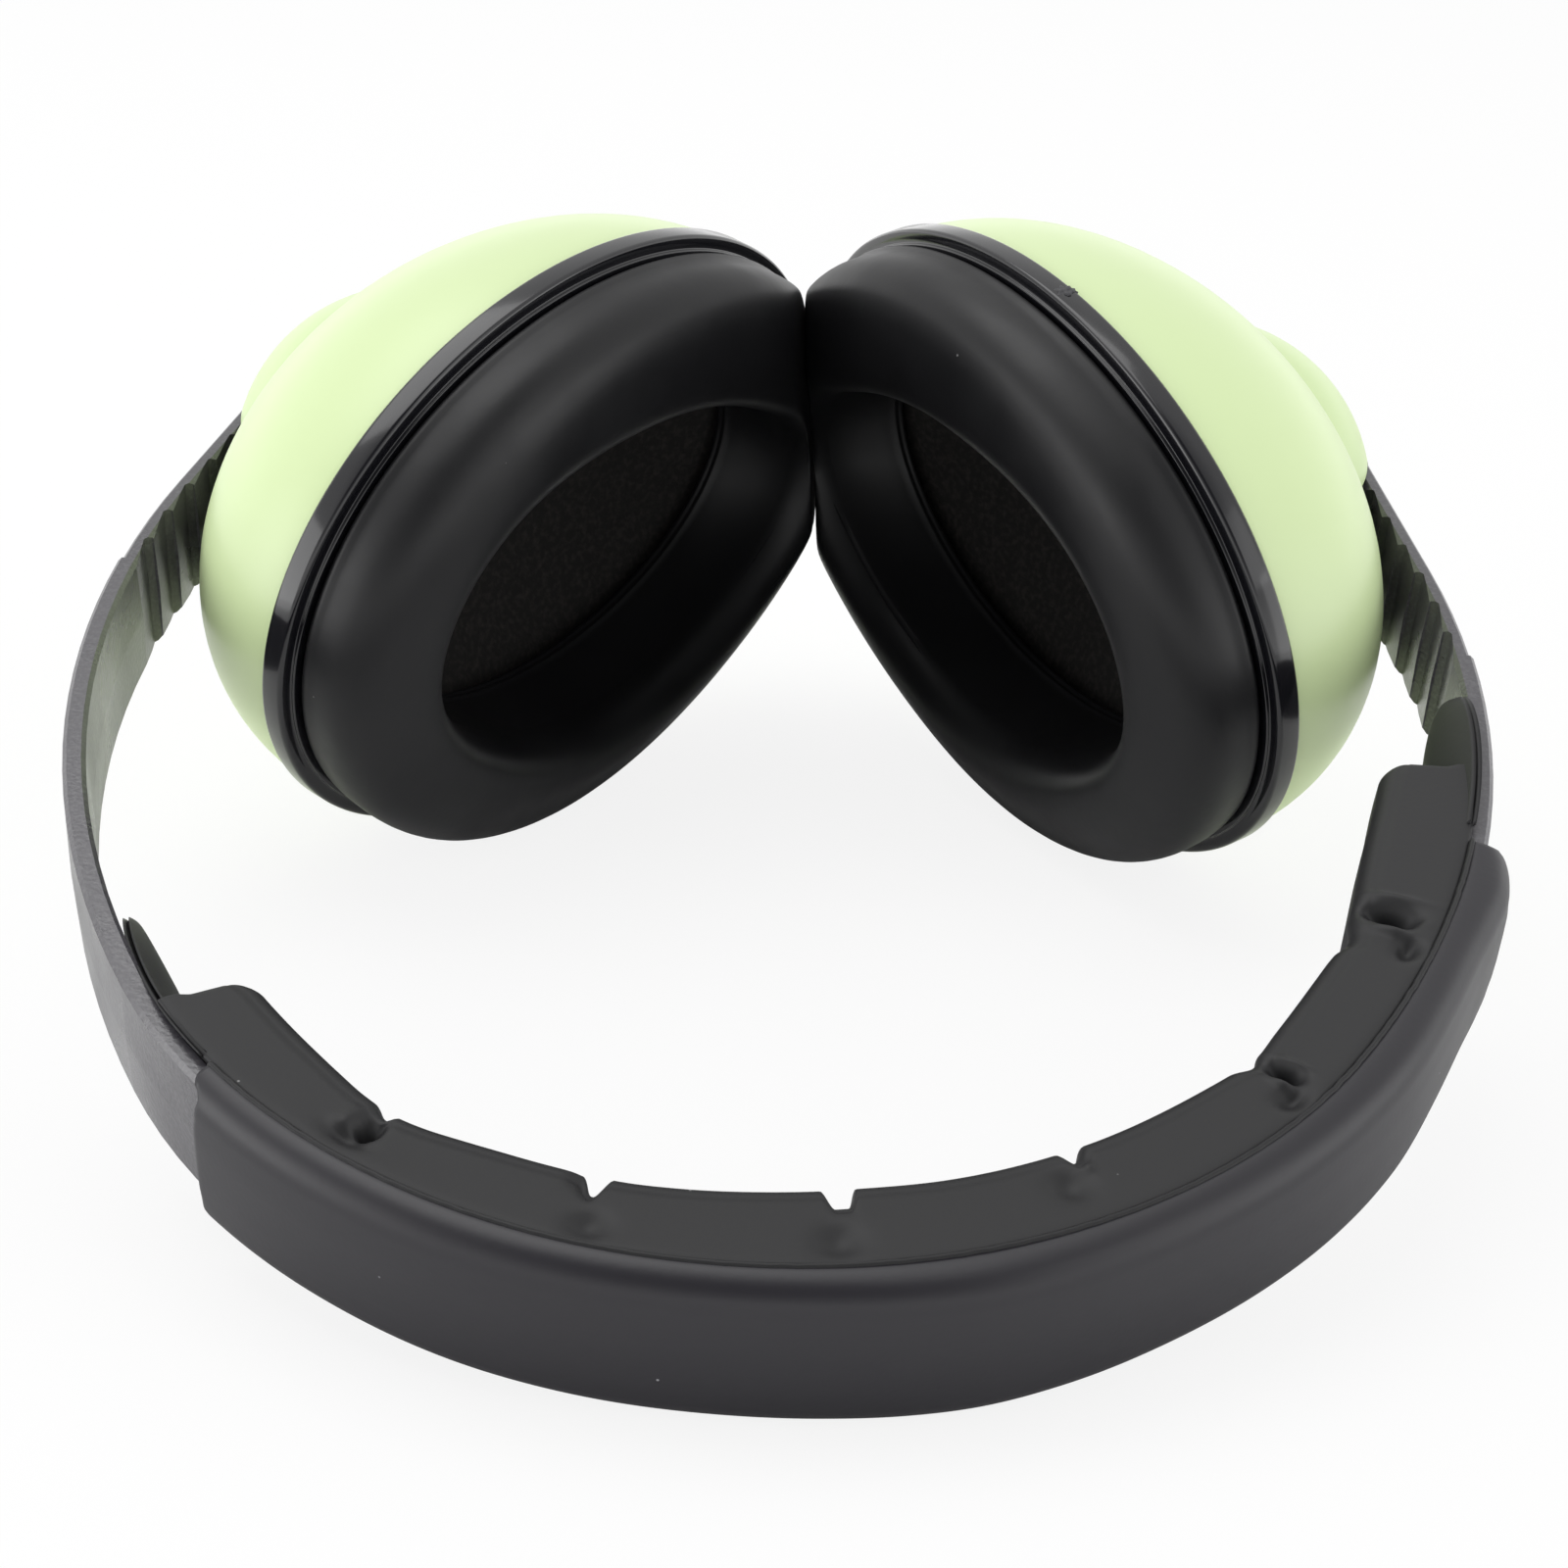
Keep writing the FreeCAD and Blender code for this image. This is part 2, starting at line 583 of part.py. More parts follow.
def tab(body, name, start, step, length):
    """Flat pointed tongue lying along the strap from the end of the padding."""
    near = strap_spot(start)
    far = strap_spot(start + step * size(length))
    inset = size("strap_crest") + size("sleeve_gap") + size("tab_lift")
    near_point = near.multVec(Vector(0, inset, 0))
    far_point = far.multVec(Vector(0, inset, 0))
    along = (far_point - near_point).normalize()
    inward = near.Rotation.multVec(Vector(0, 1, 0))
    inward = (inward - along * inward.dot(along)).normalize()
    place = Placement(near_point, Rotation(along, inward.cross(along), inward, "ZXY"))
    rows = [("-tab_root", "-tab_width / 2"), ("tab_root", "-tab_width / 2"),
            (length, "-tab_tip / 2"), (length, "tab_tip / 2"),
            ("tab_root", "tab_width / 2"), ("-tab_root", "tab_width / 2")]
    return pad(body, outline(body, name + "_form", rows, "XY_Plane", place), name, "tab_thick")


def make_sleeve_inner():
    body = strap_run("inner_skin", pad_rows("0"), "pad_start", "pad_end")
    mouth = "seam_width / 2"
    over = "pad_depth + cut_over"
    deep = "pad_depth - seam_depth"
    rows = [("-" + mouth, over), ("-seam_floor / 2", deep, "seam_round", -1),
            ("seam_floor / 2", deep), (mouth, over, "seam_round", -1)]
    seams(body, "pinch", rows)
    tab(body, "left_tab", size("pad_start"), -1, "left_tab_length")
    body.Tip = tab(body, "right_tab", size("pad_end"), 1, "right_tab_length")
    lip = "sleeve_lip - seat_play"
    near = "0 - strap_crest - sleeve_gap - wrap_root"
    for index, sign in enumerate(("", "-")):
        edge = "%s(sleeve_height / 2 - sleeve_lip)" % sign
        outside = "%s(pad_height / 2)" % sign
        flange = [(near, edge), (lip, edge), (lip, outside), (near, outside)]
        name = "wrap_%d" % index
        lines = [("-crown_radius - (%s)" % row[0], row[1]) for row in flange]
        section = outline(body, name + "_section", lines, "YZ_Plane")
        path = strap_path(body, name + "_line", RIGHT_TURN % "sleeve_end", False)
        sweep(body, name + "_right", section, path, 2)
        left = turn(body, section, name + "_left")
        left.setExpression("Angle", cell(LEFT_TURN % "sleeve_start"))
        left.Reversed = True
        body.Tip = left
    doc.recompute()
    hollow = foam_cells("foam_room", "pad_skin")
    finish(cut("sleeve_inner_form", body, hollow), "sleeve_inner", WORLD)
    finish(foam_cells("foam_cells", "pad_skin + seat_play"), "sleeve_foam", WORLD)


def foam_cells(name, inset):
    """The room of the seven foam pads, or the pads themselves, by how far they lie inside."""
    body = strap_run(name, pad_rows(inset), "pad_start + (%s)" % inset, "pad_end - (%s)" % inset)
    mouth = "(seam_width / 2 + (%s))" % inset
    wall = "(%s)" % inset
    top = "(pad_depth - seam_depth - (%s))" % inset
    over = "pad_depth + cut_over"
    back = "-cut_over"
    rows = [("-" + mouth, over), ("-" + wall, top, "seam_round", -1), ("-" + wall, back),
            (wall, back), (wall, top), (mouth, over, "seam_round", -1)]
    seams(body, name + "_wall", rows)
    return body


# The pieces of one side that slide on the strap, in the frame of the ball's centre

DOME_BALL = "((cap_radius * cap_radius + cap_height * cap_height) / (2 * cap_height))"
DOME_DROP = "(%s - cap_height)" % DOME_BALL


def make_cap(side):
    body = new_body("cap_" + side)
    inner = "(%s - cap_wall)" % DOME_BALL
    foot = "sqrt(%s * %s - %s * %s)" % (inner, inner, DOME_DROP, DOME_DROP)
    rows = [("cap_radius", "0"), ("0", "cap_height", DOME_BALL, 1), ("0", "cap_height - cap_wall"),
            (foot, "0", inner, -1)]
    turn(body, outline(body, "dome_" + side, rows, "XZ_Plane"), "dome_turn_" + side)
    doc.recompute()
    for index, sign in enumerate(("", "-")):
        at_y = "%sscrew_spread / 2" % sign
        boss = disc(body, "boss_form_%s_%d" % (side, index), "0", at_y, "screw_boss",
                    "base_top + seat_play")
        pad(body, boss, "boss_%s_%d" % (side, index), "screw_boss_height")
        thread = disc(body, "thread_form_%s_%d" % (side, index), "0", at_y,
                      "(screw_radius + screw_bite)", "base_top + seat_play")
        pierce(body, thread, "thread_%s_%d" % (side, index), "screw_depth", True)
    half = "(strap_width / 2 + slot_play)"
    low = "base_top + base_thick / 2"
    edge = "(ball_drop + arm_thick - strap_bevel + slot_play / 2)"
    shoulder = "(ball_drop + arm_thick + slot_play)"
    ridge = "(ball_drop + arm_thick + strap_crest + slot_play)"
    flat = "(%s - strap_bevel)" % half
    window = [("-" + half, low), (half, low), (half, edge), (flat, shoulder), ("0", ridge),
              ("-" + flat, shoulder), ("-" + half, edge)]
    slot = outline(body, "slot_form_" + side, window, "YZ_Plane")
    pierce(body, slot, "slot_" + side)
    below = [("-" + half, "mouth_low"), (half, "mouth_low"), (half, low), ("-" + half, low)]
    mouth = outline(body, "mouth_form_" + side, below, "YZ_Plane")
    body.Tip = pierce(body, mouth, "mouth_" + side, "cap_radius")
    return finish(body, "pivot_cap_" + side, Placement())


def disc(body, name, at_x, at_y, radius, height):
    """Circle on a level of the body."""
    sketch = body.newObject("Sketcher::SketchObject", name)
    sketch.AttachmentSupport = [(plane_of(body, "XY_Plane"), "")]
    sketch.MapMode = "FlatFace"
    sketch.setExpression("AttachmentOffset.Base.z", cell(height))
    centre = Vector(number(at_x), number(at_y), 0)
    sketch.addGeometry(Part.Circle(centre, Vector(0, 0, 1), number(radius)), False)
    place = sketch.addConstraint(Sketcher.Constraint("Radius", 0, number(radius)))
    sketch.setExpression("Constraints[%d]" % place, cell(radius))
    for kind, axis, formula in (("DistanceX", -2, at_x), ("DistanceY", -1, at_y)):
        if abs(number(formula)) < 1e-9:
            sketch.addConstraint(Sketcher.Constraint("PointOnObject", 0, 3, axis))
        else:
            place = sketch.addConstraint(Sketcher.Constraint(kind, -1, 1, 0, 3, number(formula)))
            sketch.setExpression("Constraints[%d]" % place, cell(formula))
    return sketch


def make_slider_base(side):
    body = new_body("base_" + side)
    bottom = "base_top - base_thick"
    plate = disc(body, "plate_form_" + side, "0", "0", "base_radius", bottom)
    pad(body, plate, "plate_" + side, "base_thick")
    for index, sign in enumerate(("", "-")):
        half = "rail_length / 2"
        near = "%s(rail_spread / 2 - rail_width / 2)" % sign
        far = "%s(rail_spread / 2 + rail_width / 2)" % sign
        rows = [("-" + half, near), (half, near), (half, far), ("-" + half, far)]
        form = outline(body, "rail_form_%s_%d" % (side, index), rows)
        form.setExpression("AttachmentOffset.Base.z", cell("base_top - rail_root"))
        pad(body, form, "rail_%s_%d" % (side, index), "ball_drop - rail_play - base_top + rail_root")
        hole = disc(body, "hole_form_%s_%d" % (side, index), "0", "%sscrew_spread / 2" % sign,
                    "screw_radius + shank_play", bottom)
        pierce(body, hole, "hole_%s_%d" % (side, index))
    bore = disc(body, "bore_form_" + side, "0", "0", "shank_radius + shank_play", bottom)
    body.Tip = pierce(body, bore, "bore_" + side)
    return finish(body, "slider_base_" + side, Placement())


def make_spring(side):
    """Click tongue: clamped foot behind the stud and a hump that sits in a notch."""
    body = new_body("spring_" + side)
    low = "base_top + seat_play"
    high = low + " + tongue_thick"
    peak = "ball_drop - rail_play"
    end = "tongue_start + tongue_length"
    foot = end + " - tongue_foot"
    near = foot + " - hump_slope"
    far = near + " - hump_top"
    rows = [(end, low), (end, high), (foot, high), (near, peak), (far, peak),
            ("tongue_start", high + " + tongue_tip_lift"), ("tongue_start", low + " + tongue_tip_lift"),
            (far + " - hump_shift", peak + " - tongue_thick"),
            (near + " + hump_shift", peak + " - tongue_thick"), (foot + " - hump_shift", low)]
    form = outline(body, "tongue_form_" + side, rows, "XZ_Plane")
    body.Tip = pad(body, form, "tongue_" + side, "tongue_width", True)
    return finish(body, "detent_spring_" + side, Placement())


def make_screws(side):
    pieces = []
    for index, sign in enumerate(("", "-")):
        name = "%s_%d" % (side, index)
        head = primitive("Cylinder", "screw_head_" + name,
                         (None, "%sscrew_spread / 2" % sign,
                          "base_top - base_thick - screw_head_thick"),
                         Radius="screw_head", Height="screw_head_thick")
        shank = primitive("Cylinder", "screw_shank_" + name,
                          (None, "%sscrew_spread / 2" % sign, "base_top - base_thick"),
                          Radius="screw_radius",
                          Height="base_thick + screw_depth - 2 * seat_play")
        pieces += [head, shank]
    return finish(join("screws_" + side, *pieces), "base_screws_" + side, Placement())


def make_stud(side):
    body = new_body("stud_" + side)
    neck = "sqrt(ball_radius * ball_radius - neck_radius * neck_radius)"
    under = "(base_top - base_thick - seat_play)"
    rows = [("0", "-ball_radius"), ("neck_radius", neck, "ball_radius", 1),
            ("neck_radius", under + " - head_thick"), ("stud_collar", under + " - head_thick"),
            ("stud_collar", under), ("shank_radius", under),
            ("shank_radius", "base_top + seat_play"), ("stud_head", "base_top + seat_play"),
            ("stud_head", "base_top + seat_play + head_thick"),
            ("0", "base_top + seat_play + head_thick")]
    form = outline(body, "stud_form_" + side, rows, "XZ_Plane")
    body.Tip = turn(body, form, "stud_turn_" + side)
    return finish(body, "ball_stud_" + side, Placement())


def make_bush(side):
    body = new_body("bush_" + side)
    inner = "(ball_radius + ball_play)"
    outer = "(ball_radius + ball_play + bush_wall)"
    rows = [(outer + " * sin(bush_bottom)", outer + " * cos(bush_bottom)"),
            (outer + " * sin(bush_mouth)", outer + " * cos(bush_mouth)", outer, 1),
            (inner + " * sin(bush_mouth)", inner + " * cos(bush_mouth)"),
            (inner + " * sin(bush_bottom)", inner + " * cos(bush_bottom)", inner, -1)]
    form = outline(body, "bush_form_" + side, rows, "XZ_Plane")
    body.Tip = turn(body, form, "bush_turn_" + side)
    return finish(body, "socket_bush_" + side, Placement())


# The cup, in the frame of its rim: X along it, Z into the shell, the head at -Z

ROOM = "(ball_radius + ball_play + bush_wall + ball_play)"
BALL = ("-ball_rise", None, "ball_depth")


def make_shell(side):
    def name(text):
        return "%s_%s" % (text, side)
    out = primitive("Ellipsoid", name("shell_out"), Radius1="cup_depth", Radius2="cup_long",
                    Radius3="cup_short", Angle1="0")
    room = primitive("Ellipsoid", name("shell_in"), Radius1="cup_depth - shell_wall",
                     Radius2="cup_long - shell_wall", Radius3="cup_short - shell_wall",
                     Angle1="-shell_overcut")
    hull = cut(name("shell_hull"), out, room)
    bowl = primitive("Sphere", name("bowl"), BALL, Radius="cap_radius + pocket_play + pocket_wall")
    above = primitive("Cylinder", name("bowl_level"),
                      ("-ball_rise", None, "ball_depth - pocket_floor - pocket_wall"),
                      Radius="2 * cap_radius", Height="3 * cap_radius")
    whole = primitive("Ellipsoid", name("shell_whole"), Radius1="cup_depth", Radius2="cup_long",
                      Radius3="cup_short", Angle1="0")
    seat = overlap(name("pocket_seat"), bowl, above, whole)
    both = join(name("shell_and_seat"), hull, seat)
    pocket = primitive("Sphere", name("pocket"), BALL, Radius="cap_radius + pocket_play")
    floor = primitive("Cylinder", name("pocket_level"),
                      ("-ball_rise", None, "ball_depth - pocket_floor"),
                      Radius="2 * cap_radius", Height="3 * cap_radius")
    opened = cut(name("shell_opened"), both, overlap(name("pocket_room"), pocket, floor))
    boss = primitive("Cylinder", name("socket_boss"),
                     ("-ball_rise", None, "ball_depth - pocket_floor - pocket_wall / 2"),
                     Radius=ROOM + " + boss_wall",
                     Height="boss_top + pocket_floor + pocket_wall / 2")
    solid = join(name("shell_bossed"), opened, boss)
    ball_room = primitive("Sphere", name("ball_room"), BALL, Radius=ROOM)
    bore = primitive("Cylinder", name("socket_bore"),
                     ("-ball_rise", None, "ball_depth - pocket_floor - 2 * pocket_wall"),
                     Radius=ROOM, Height="pocket_floor + 2 * pocket_wall")
    form = cut(name("shell_form"), solid, join(name("socket_room"), ball_room, bore))
    form.Refine = True
    return finish(form, "cup_shell_" + side, Placement())


def make_retainer(side):
    body = new_body("retainer_" + side)
    plug = "(%s - seat_play)" % ROOM
    low = "(0 - pocket_floor - pocket_wall - seat_play)"
    lip = "(%s + retainer_lip)" % plug
    edge = "(%s - retainer_edge)" % plug
    deep = "sqrt(%s * %s - %s * %s)" % (ROOM, ROOM, edge, edge)
    rows = [("0", low + " - retainer_flange"), (lip, low + " - retainer_flange"), (lip, low),
            (plug, low), (plug, "-" + deep), (edge, "-" + deep), ("0", "-" + ROOM, ROOM, -1)]
    form = outline(body, "retainer_form_" + side, rows, "XZ_Plane")
    body.Tip = turn(body, form, "retainer_turn_" + side)
    return finish(body, "bush_retainer_" + side, Placement())


def make_rim(side):
    def name(text):
        return "%s_%s" % (text, side)
    main = oval(name("rim_main"), "-rim_proud", "-rim_height", "rim_height")
    doc.recompute()
    rounded = doc.addObject("Part::Fillet", name("rim_rounded"))
    rounded.Base = main
    edges = []
    for index, edge in enumerate(main.Shape.Edges, start=1):
        if isinstance(edge.Curve, Part.Ellipse):
            edges.append((index, size("rim_round"), size("rim_round")))
    rounded.Edges = edges
    lip = oval(name("rim_lip"), "lip_inset", "-rim_height - lip_height", "lip_height + rim_round")
    spigot = oval(name("rim_spigot"), "shell_wall + spigot_play", "-spigot_root",
                  "spigot_height + spigot_root")
    inside = oval(name("rim_spigot_room"), "shell_wall + spigot_play + spigot_wall", "0",
                  "2 * spigot_height")
    hole = oval(name("rim_mouth"), "mouth_inset", "-2 * rim_height", "4 * rim_height")
    form = cut(name("rim_form"), join(name("rim_solid"), rounded, lip, spigot),
               join(name("rim_room"), inside, hole))
    return finish(form, "rim_ring_" + side, Placement())


def ring(name, rows):
    """Section run round the cushion's middle oval; rows are (outwards, towards the head)."""
    body = new_body(name)
    long_half = "(cup_long - cushion_inset - cushion_half)"
    short_half = "(cup_short - cushion_inset - cushion_half)"
    path = body.newObject("Sketcher::SketchObject", name + "_line")
    path.AttachmentSupport = [(plane_of(body, "XY_Plane"), "")]
    path.MapMode = "FlatFace"
    oval_edge = Part.Ellipse(Vector(), number(long_half), number(short_half))
    path.addGeometry(oval_edge, False)
    path.exposeInternalGeometry(0)
    path.addConstraint(Sketcher.Constraint("Coincident", 0, 3, -1, 1))
    path.addConstraint(Sketcher.Constraint("Horizontal", 1))
    for edge, formula in ((1, "2 * " + long_half), (2, "2 * " + short_half)):
        place = path.addConstraint(Sketcher.Constraint("Distance", edge, number(formula)))
        path.setExpression("Constraints[%d]" % place, cell(formula))
    lines = []
    for row in rows:
        lines.append(("%s + (%s)" % (long_half, row[0]), "-(%s)" % row[1]) + tuple(row[2:]))
    section = outline(body, name + "_section", lines, "XZ_Plane")
    body.Tip = sweep(body, name + "_sweep", section, path, 1)
    return body


def cushion_rows(inset):
    """Section of the cushion, moved in by inset: drawn in at its foot, round towards the head."""
    half = "(cushion_half - (%s))" % inset
    foot = "(cushion_foot - (%s))" % inset
    base = "(rim_height + lip_height + seat_play + (%s))" % inset
    return [("-" + half, "cushion_belly", half, -1), ("-" + foot, base), (foot, base),
            (half, "cushion_belly"), ("0", "cushion_belly + " + half, half, -1)]


def flattened(name, thing, side, inset):
    """Cut the cushion where it is pressed flat against the other one."""
    doc.recompute()
    block = primitive("Box", name + "_press", Length="press_block", Width="press_block",
                      Height="press_block")
    sign = -1 if side == "left" else 1
    start = sign * (size("touch_gap") + inset)
    reach = size("press_block")
    corner = Vector(start if sign < 0 else start - reach, 0, -reach / 2)
    block.Placement = cup_place(side, sign).inverse() * Placement(corner, Rotation())
    return cut(name, thing, block)


def make_cushion(side):
    skin_out = flattened("cushion_out_" + side, ring("cushion_skin_out_" + side, cushion_rows("0")),
                         side, 0)
    room = flattened("cushion_room_" + side,
                     ring("cushion_skin_in_" + side, cushion_rows("cushion_skin")),
                     side, size("cushion_skin"))
    finish(cut("cushion_skin_form_" + side, skin_out, room), "cushion_skin_" + side, Placement())
    start = "(rim_height + lip_height + 2 * seat_play + cushion_skin)"
    half = "(cushion_foot - cushion_skin - clip_play)"
    end = "(%s + clip_thick)" % start
    rows = [("-" + half, start), (half, start), (half, end), ("-" + half, end)]
    clip = flattened("clip_form_" + side, ring("clip_run_" + side, rows), side,
                     size("cushion_skin") + size("seat_play"))
    finish(clip, "cushion_clip_ring_" + side, Placement())
    inset = "(cushion_skin + seat_play)"
    half = "(cushion_half - %s)" % inset
    foot = "(cushion_foot - %s)" % inset
    base = "(%s + seat_play)" % end
    rows = [("-" + half, "cushion_belly", half, -1), ("-" + foot, base), (foot, base),
            (half, "cushion_belly"), ("0", "cushion_belly + " + half, half, -1)]
    foam = flattened("cushion_foam_form_" + side, ring("cushion_core_" + side, rows), side,
                     size("cushion_skin") + size("seat_play"))
    finish(foam, "cushion_foam_" + side, Placement())


def make_liner(side):
    def name(text):
        return "%s_%s" % (text, side)
    wall = "(shell_wall + liner_play)"
    whole = primitive("Ellipsoid", name("liner_whole"), Radius1="cup_depth - " + wall,
                      Radius2="cup_long - " + wall, Radius3="cup_short - " + wall, Angle1="0")
    spigot = "(shell_wall + spigot_play + spigot_wall + liner_play / 2)"
    column = oval(name("liner_column"), spigot, "liner_start", "liner_end - liner_start")
    bowl = primitive("Sphere", name("liner_bowl"), BALL,
                     Radius="cap_radius + pocket_play + pocket_wall + liner_play")
    level = primitive("Cylinder", name("liner_level"),
                      ("-ball_rise", None,
                       "ball_depth - pocket_floor - pocket_wall - retainer_flange - liner_play"),
                      Radius="2 * cap_radius", Height="3 * cap_radius")
    dish = primitive("Ellipsoid", name("liner_dish"), Radius1="dish_depth",
                     Radius2="cup_long - dish_inset", Radius3="cup_short - dish_inset")
    away = join(name("liner_away"), overlap(name("liner_seat"), bowl, level), dish)
    form = cut(name("liner_form"), overlap(name("liner_block"), whole, column), away)
    return finish(form, "foam_liner_" + side, Placement())


make_headband()
make_sleeve_outer()
make_sleeve_inner()

for side_name, sign in SIDES:
    slider = slider_place(side_name, sign)
    bush = bush_place(side_name, sign)
    cup = cup_place(side_name, sign)
    ball_in_cup = Placement(Vector(-size("ball_rise"), 0, size("ball_depth")), Rotation())
    for maker in (make_cap, make_slider_base, make_spring, make_screws, make_stud):
        maker(side_name).Placement = WORLD * slider
    make_bush(side_name).Placement = WORLD * bush
    make_retainer(side_name).Placement = WORLD * cup * ball_in_cup
    first = len(finished)
    make_shell(side_name)
    make_rim(side_name)
    make_cushion(side_name)
    make_liner(side_name)
    for thing in finished[first:]:
        thing.Placement = WORLD * cup

doc.recompute()

# Every piece is sound before any file is written
faults = []
for thing in doc.Objects:
    if "Invalid" in thing.State or "Error" in thing.State:
        faults.append("%s is in the state %s" % (thing.Name, thing.State))
for thing in finished:
    shape = thing.Shape
    if shape.isNull() or not shape.isValid() or shape.Volume <= 0:
        faults.append("%s has no sound shape" % thing.Label)
if faults:
    raise RuntimeError("; ".join(faults))

for thing in finished:
    thing.Shape.exportStep("parts/%s.step" % thing.Label)
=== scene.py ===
# %% [markdown]
# # A child's ear defender
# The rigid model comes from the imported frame: strap, pivot caps and cup shells are already in
# place. This script gives them their finish and models what is soft or shiny beside them: the
# padded sleeve, the two cushions, the glossy rims and the foam inside the cups.

import json
import math

import bmesh
import bpy
from mathutils import Matrix, Vector, noise


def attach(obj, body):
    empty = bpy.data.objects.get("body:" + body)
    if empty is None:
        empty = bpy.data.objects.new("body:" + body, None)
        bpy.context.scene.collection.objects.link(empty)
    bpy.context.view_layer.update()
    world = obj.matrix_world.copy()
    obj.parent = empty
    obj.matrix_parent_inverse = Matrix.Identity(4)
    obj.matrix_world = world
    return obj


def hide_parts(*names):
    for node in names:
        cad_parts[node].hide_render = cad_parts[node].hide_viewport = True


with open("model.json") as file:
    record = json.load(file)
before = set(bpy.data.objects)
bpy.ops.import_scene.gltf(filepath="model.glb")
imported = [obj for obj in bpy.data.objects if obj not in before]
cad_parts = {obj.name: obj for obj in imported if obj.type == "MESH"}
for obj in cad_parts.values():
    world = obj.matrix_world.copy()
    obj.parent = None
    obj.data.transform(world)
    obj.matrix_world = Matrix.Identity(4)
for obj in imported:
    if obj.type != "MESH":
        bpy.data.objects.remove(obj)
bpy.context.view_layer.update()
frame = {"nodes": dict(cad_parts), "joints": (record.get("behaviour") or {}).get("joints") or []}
scene = bpy.context.scene
nodes = frame["nodes"]
joints = {joint["name"]: joint for joint in frame["joints"]}

# %% [markdown]
# ## The line of the strap
# The strap is one flat spring: a round crown, two flatter sides and straight ends. Soft pieces that
# follow it could be bent with a Curve modifier. A function that takes a place along the strap, out
# of it and above its middle is used instead, because it gives exact places for dents and seams, and
# the finished mesh needs no modifier.

# %% Strap line, in millimetres
MM = 0.001
CROWN_RADIUS = 58.0
CROWN_ANGLE = math.radians(58.2)
SIDE_RADIUS = 104.5
SIDE_ANGLE = math.radians(44.0)
CROWN_LENGTH = CROWN_ANGLE * CROWN_RADIUS
SIDE_LENGTH = SIDE_ANGLE * SIDE_RADIUS


def strap_point(along, out, high):
    """Point of the band frame: along the strap's inner face, out of it, and above its middle."""
    side = 1 if along >= 0 else -1
    run = abs(along)
    lean = min(run, CROWN_LENGTH) / CROWN_RADIUS
    centre = Vector((0, 0, 0))
    radius = CROWN_RADIUS
    if run > CROWN_LENGTH:
        reach = CROWN_RADIUS - SIDE_RADIUS
        centre = Vector((side * reach * math.sin(CROWN_ANGLE), -reach * math.cos(CROWN_ANGLE), 0))
        radius = SIDE_RADIUS
        lean = CROWN_ANGLE + min(run - CROWN_LENGTH, SIDE_LENGTH) / SIDE_RADIUS
    outward = Vector((side * math.sin(lean), -math.cos(lean), 0))
    onward = Vector((side * math.cos(lean), math.sin(lean), 0))
    past = max(0.0, run - CROWN_LENGTH - SIDE_LENGTH)
    return centre + outward * (radius + out) + onward * past + Vector((0, 0, high))


print("arcs of half a strap, mm", round(CROWN_LENGTH, 1), round(SIDE_LENGTH, 1))

# %% [markdown]
# ## Where the band and the cups lie
# The strap and both cups lie askew on the table, so every piece is modelled in millimetres in a
# frame of its own. Those frames could be typed in as angles. They are worked out from the joints
# instead: both caps slide along the straight ends of the strap, so the two slide axes span the
# plane of the band, and each cup hangs on a ball whose centre and axes are known too.

# %% Frames of the band and the cups
BALL_DROP = 10.4
BALL_RISE = 6.0
BALL_DEPTH = 21.0
LEFT_REACH = 20.2
CUP_TOE = math.radians(6.4)
SIDES = ("left", "right")


def joint_axis(name):
    return Vector(joints[name]["axis"]).normalized()


def joint_spot(name):
    return Vector(joints[name]["pos_m"])


def frame_matrix(x_axis, y_axis, z_axis, origin):
    """Matrix from millimetres in a frame of its own to metres in the shared frame."""
    turn = Matrix((x_axis, y_axis, z_axis)).transposed().to_4x4()
    return Matrix.Translation(origin) @ turn @ Matrix.Scale(MM, 4)


def band_matrix():
    """X from the left arm to the right one, Y from crown to cups, origin at the crown arc's centre."""
    left = joint_axis("slide_left")
    right = joint_axis("slide_right")
    x_axis = (left - right).normalized()
    y_axis = (left + right).normalized()
    z_axis = x_axis.cross(y_axis)
    turn = frame_matrix(x_axis, y_axis, z_axis, Vector((0, 0, 0)))
    ball = strap_point(-(CROWN_LENGTH + SIDE_LENGTH + LEFT_REACH), -BALL_DROP, 0)
    return Matrix.Translation(joint_spot("slide_left") - turn @ ball) @ turn


def cup_matrix(side):
    """X along the cup, Z into the shell, origin in the middle of the shell's rim."""
    sign = 1 if side == "right" else -1
    long_axis = joint_axis("toe_" + side)
    into = long_axis.cross(joint_axis("tilt_" + side)).normalized()
    into = Matrix.Rotation(-sign * CUP_TOE, 3, long_axis) @ into
    middle = joint_spot("tilt_" + side) + (long_axis * BALL_RISE - into * BALL_DEPTH) * MM
    return frame_matrix(long_axis, into.cross(long_axis), into, middle)


BAND = band_matrix()
CUPS = {side: cup_matrix(side) for side in SIDES}
for side in SIDES:
    print(side, "cup middle", [round(value, 4) for value in CUPS[side].translation])

# %% [markdown]
# ## From a bmesh to a piece
# Each piece is one bmesh in its own frame. The object could be placed and turned, but then its
# Object coordinates would turn too. So the vertices are moved and the object stays at the origin,
# unturned and unscaled, as the imported nodes are.

# %% Make an object from a bmesh


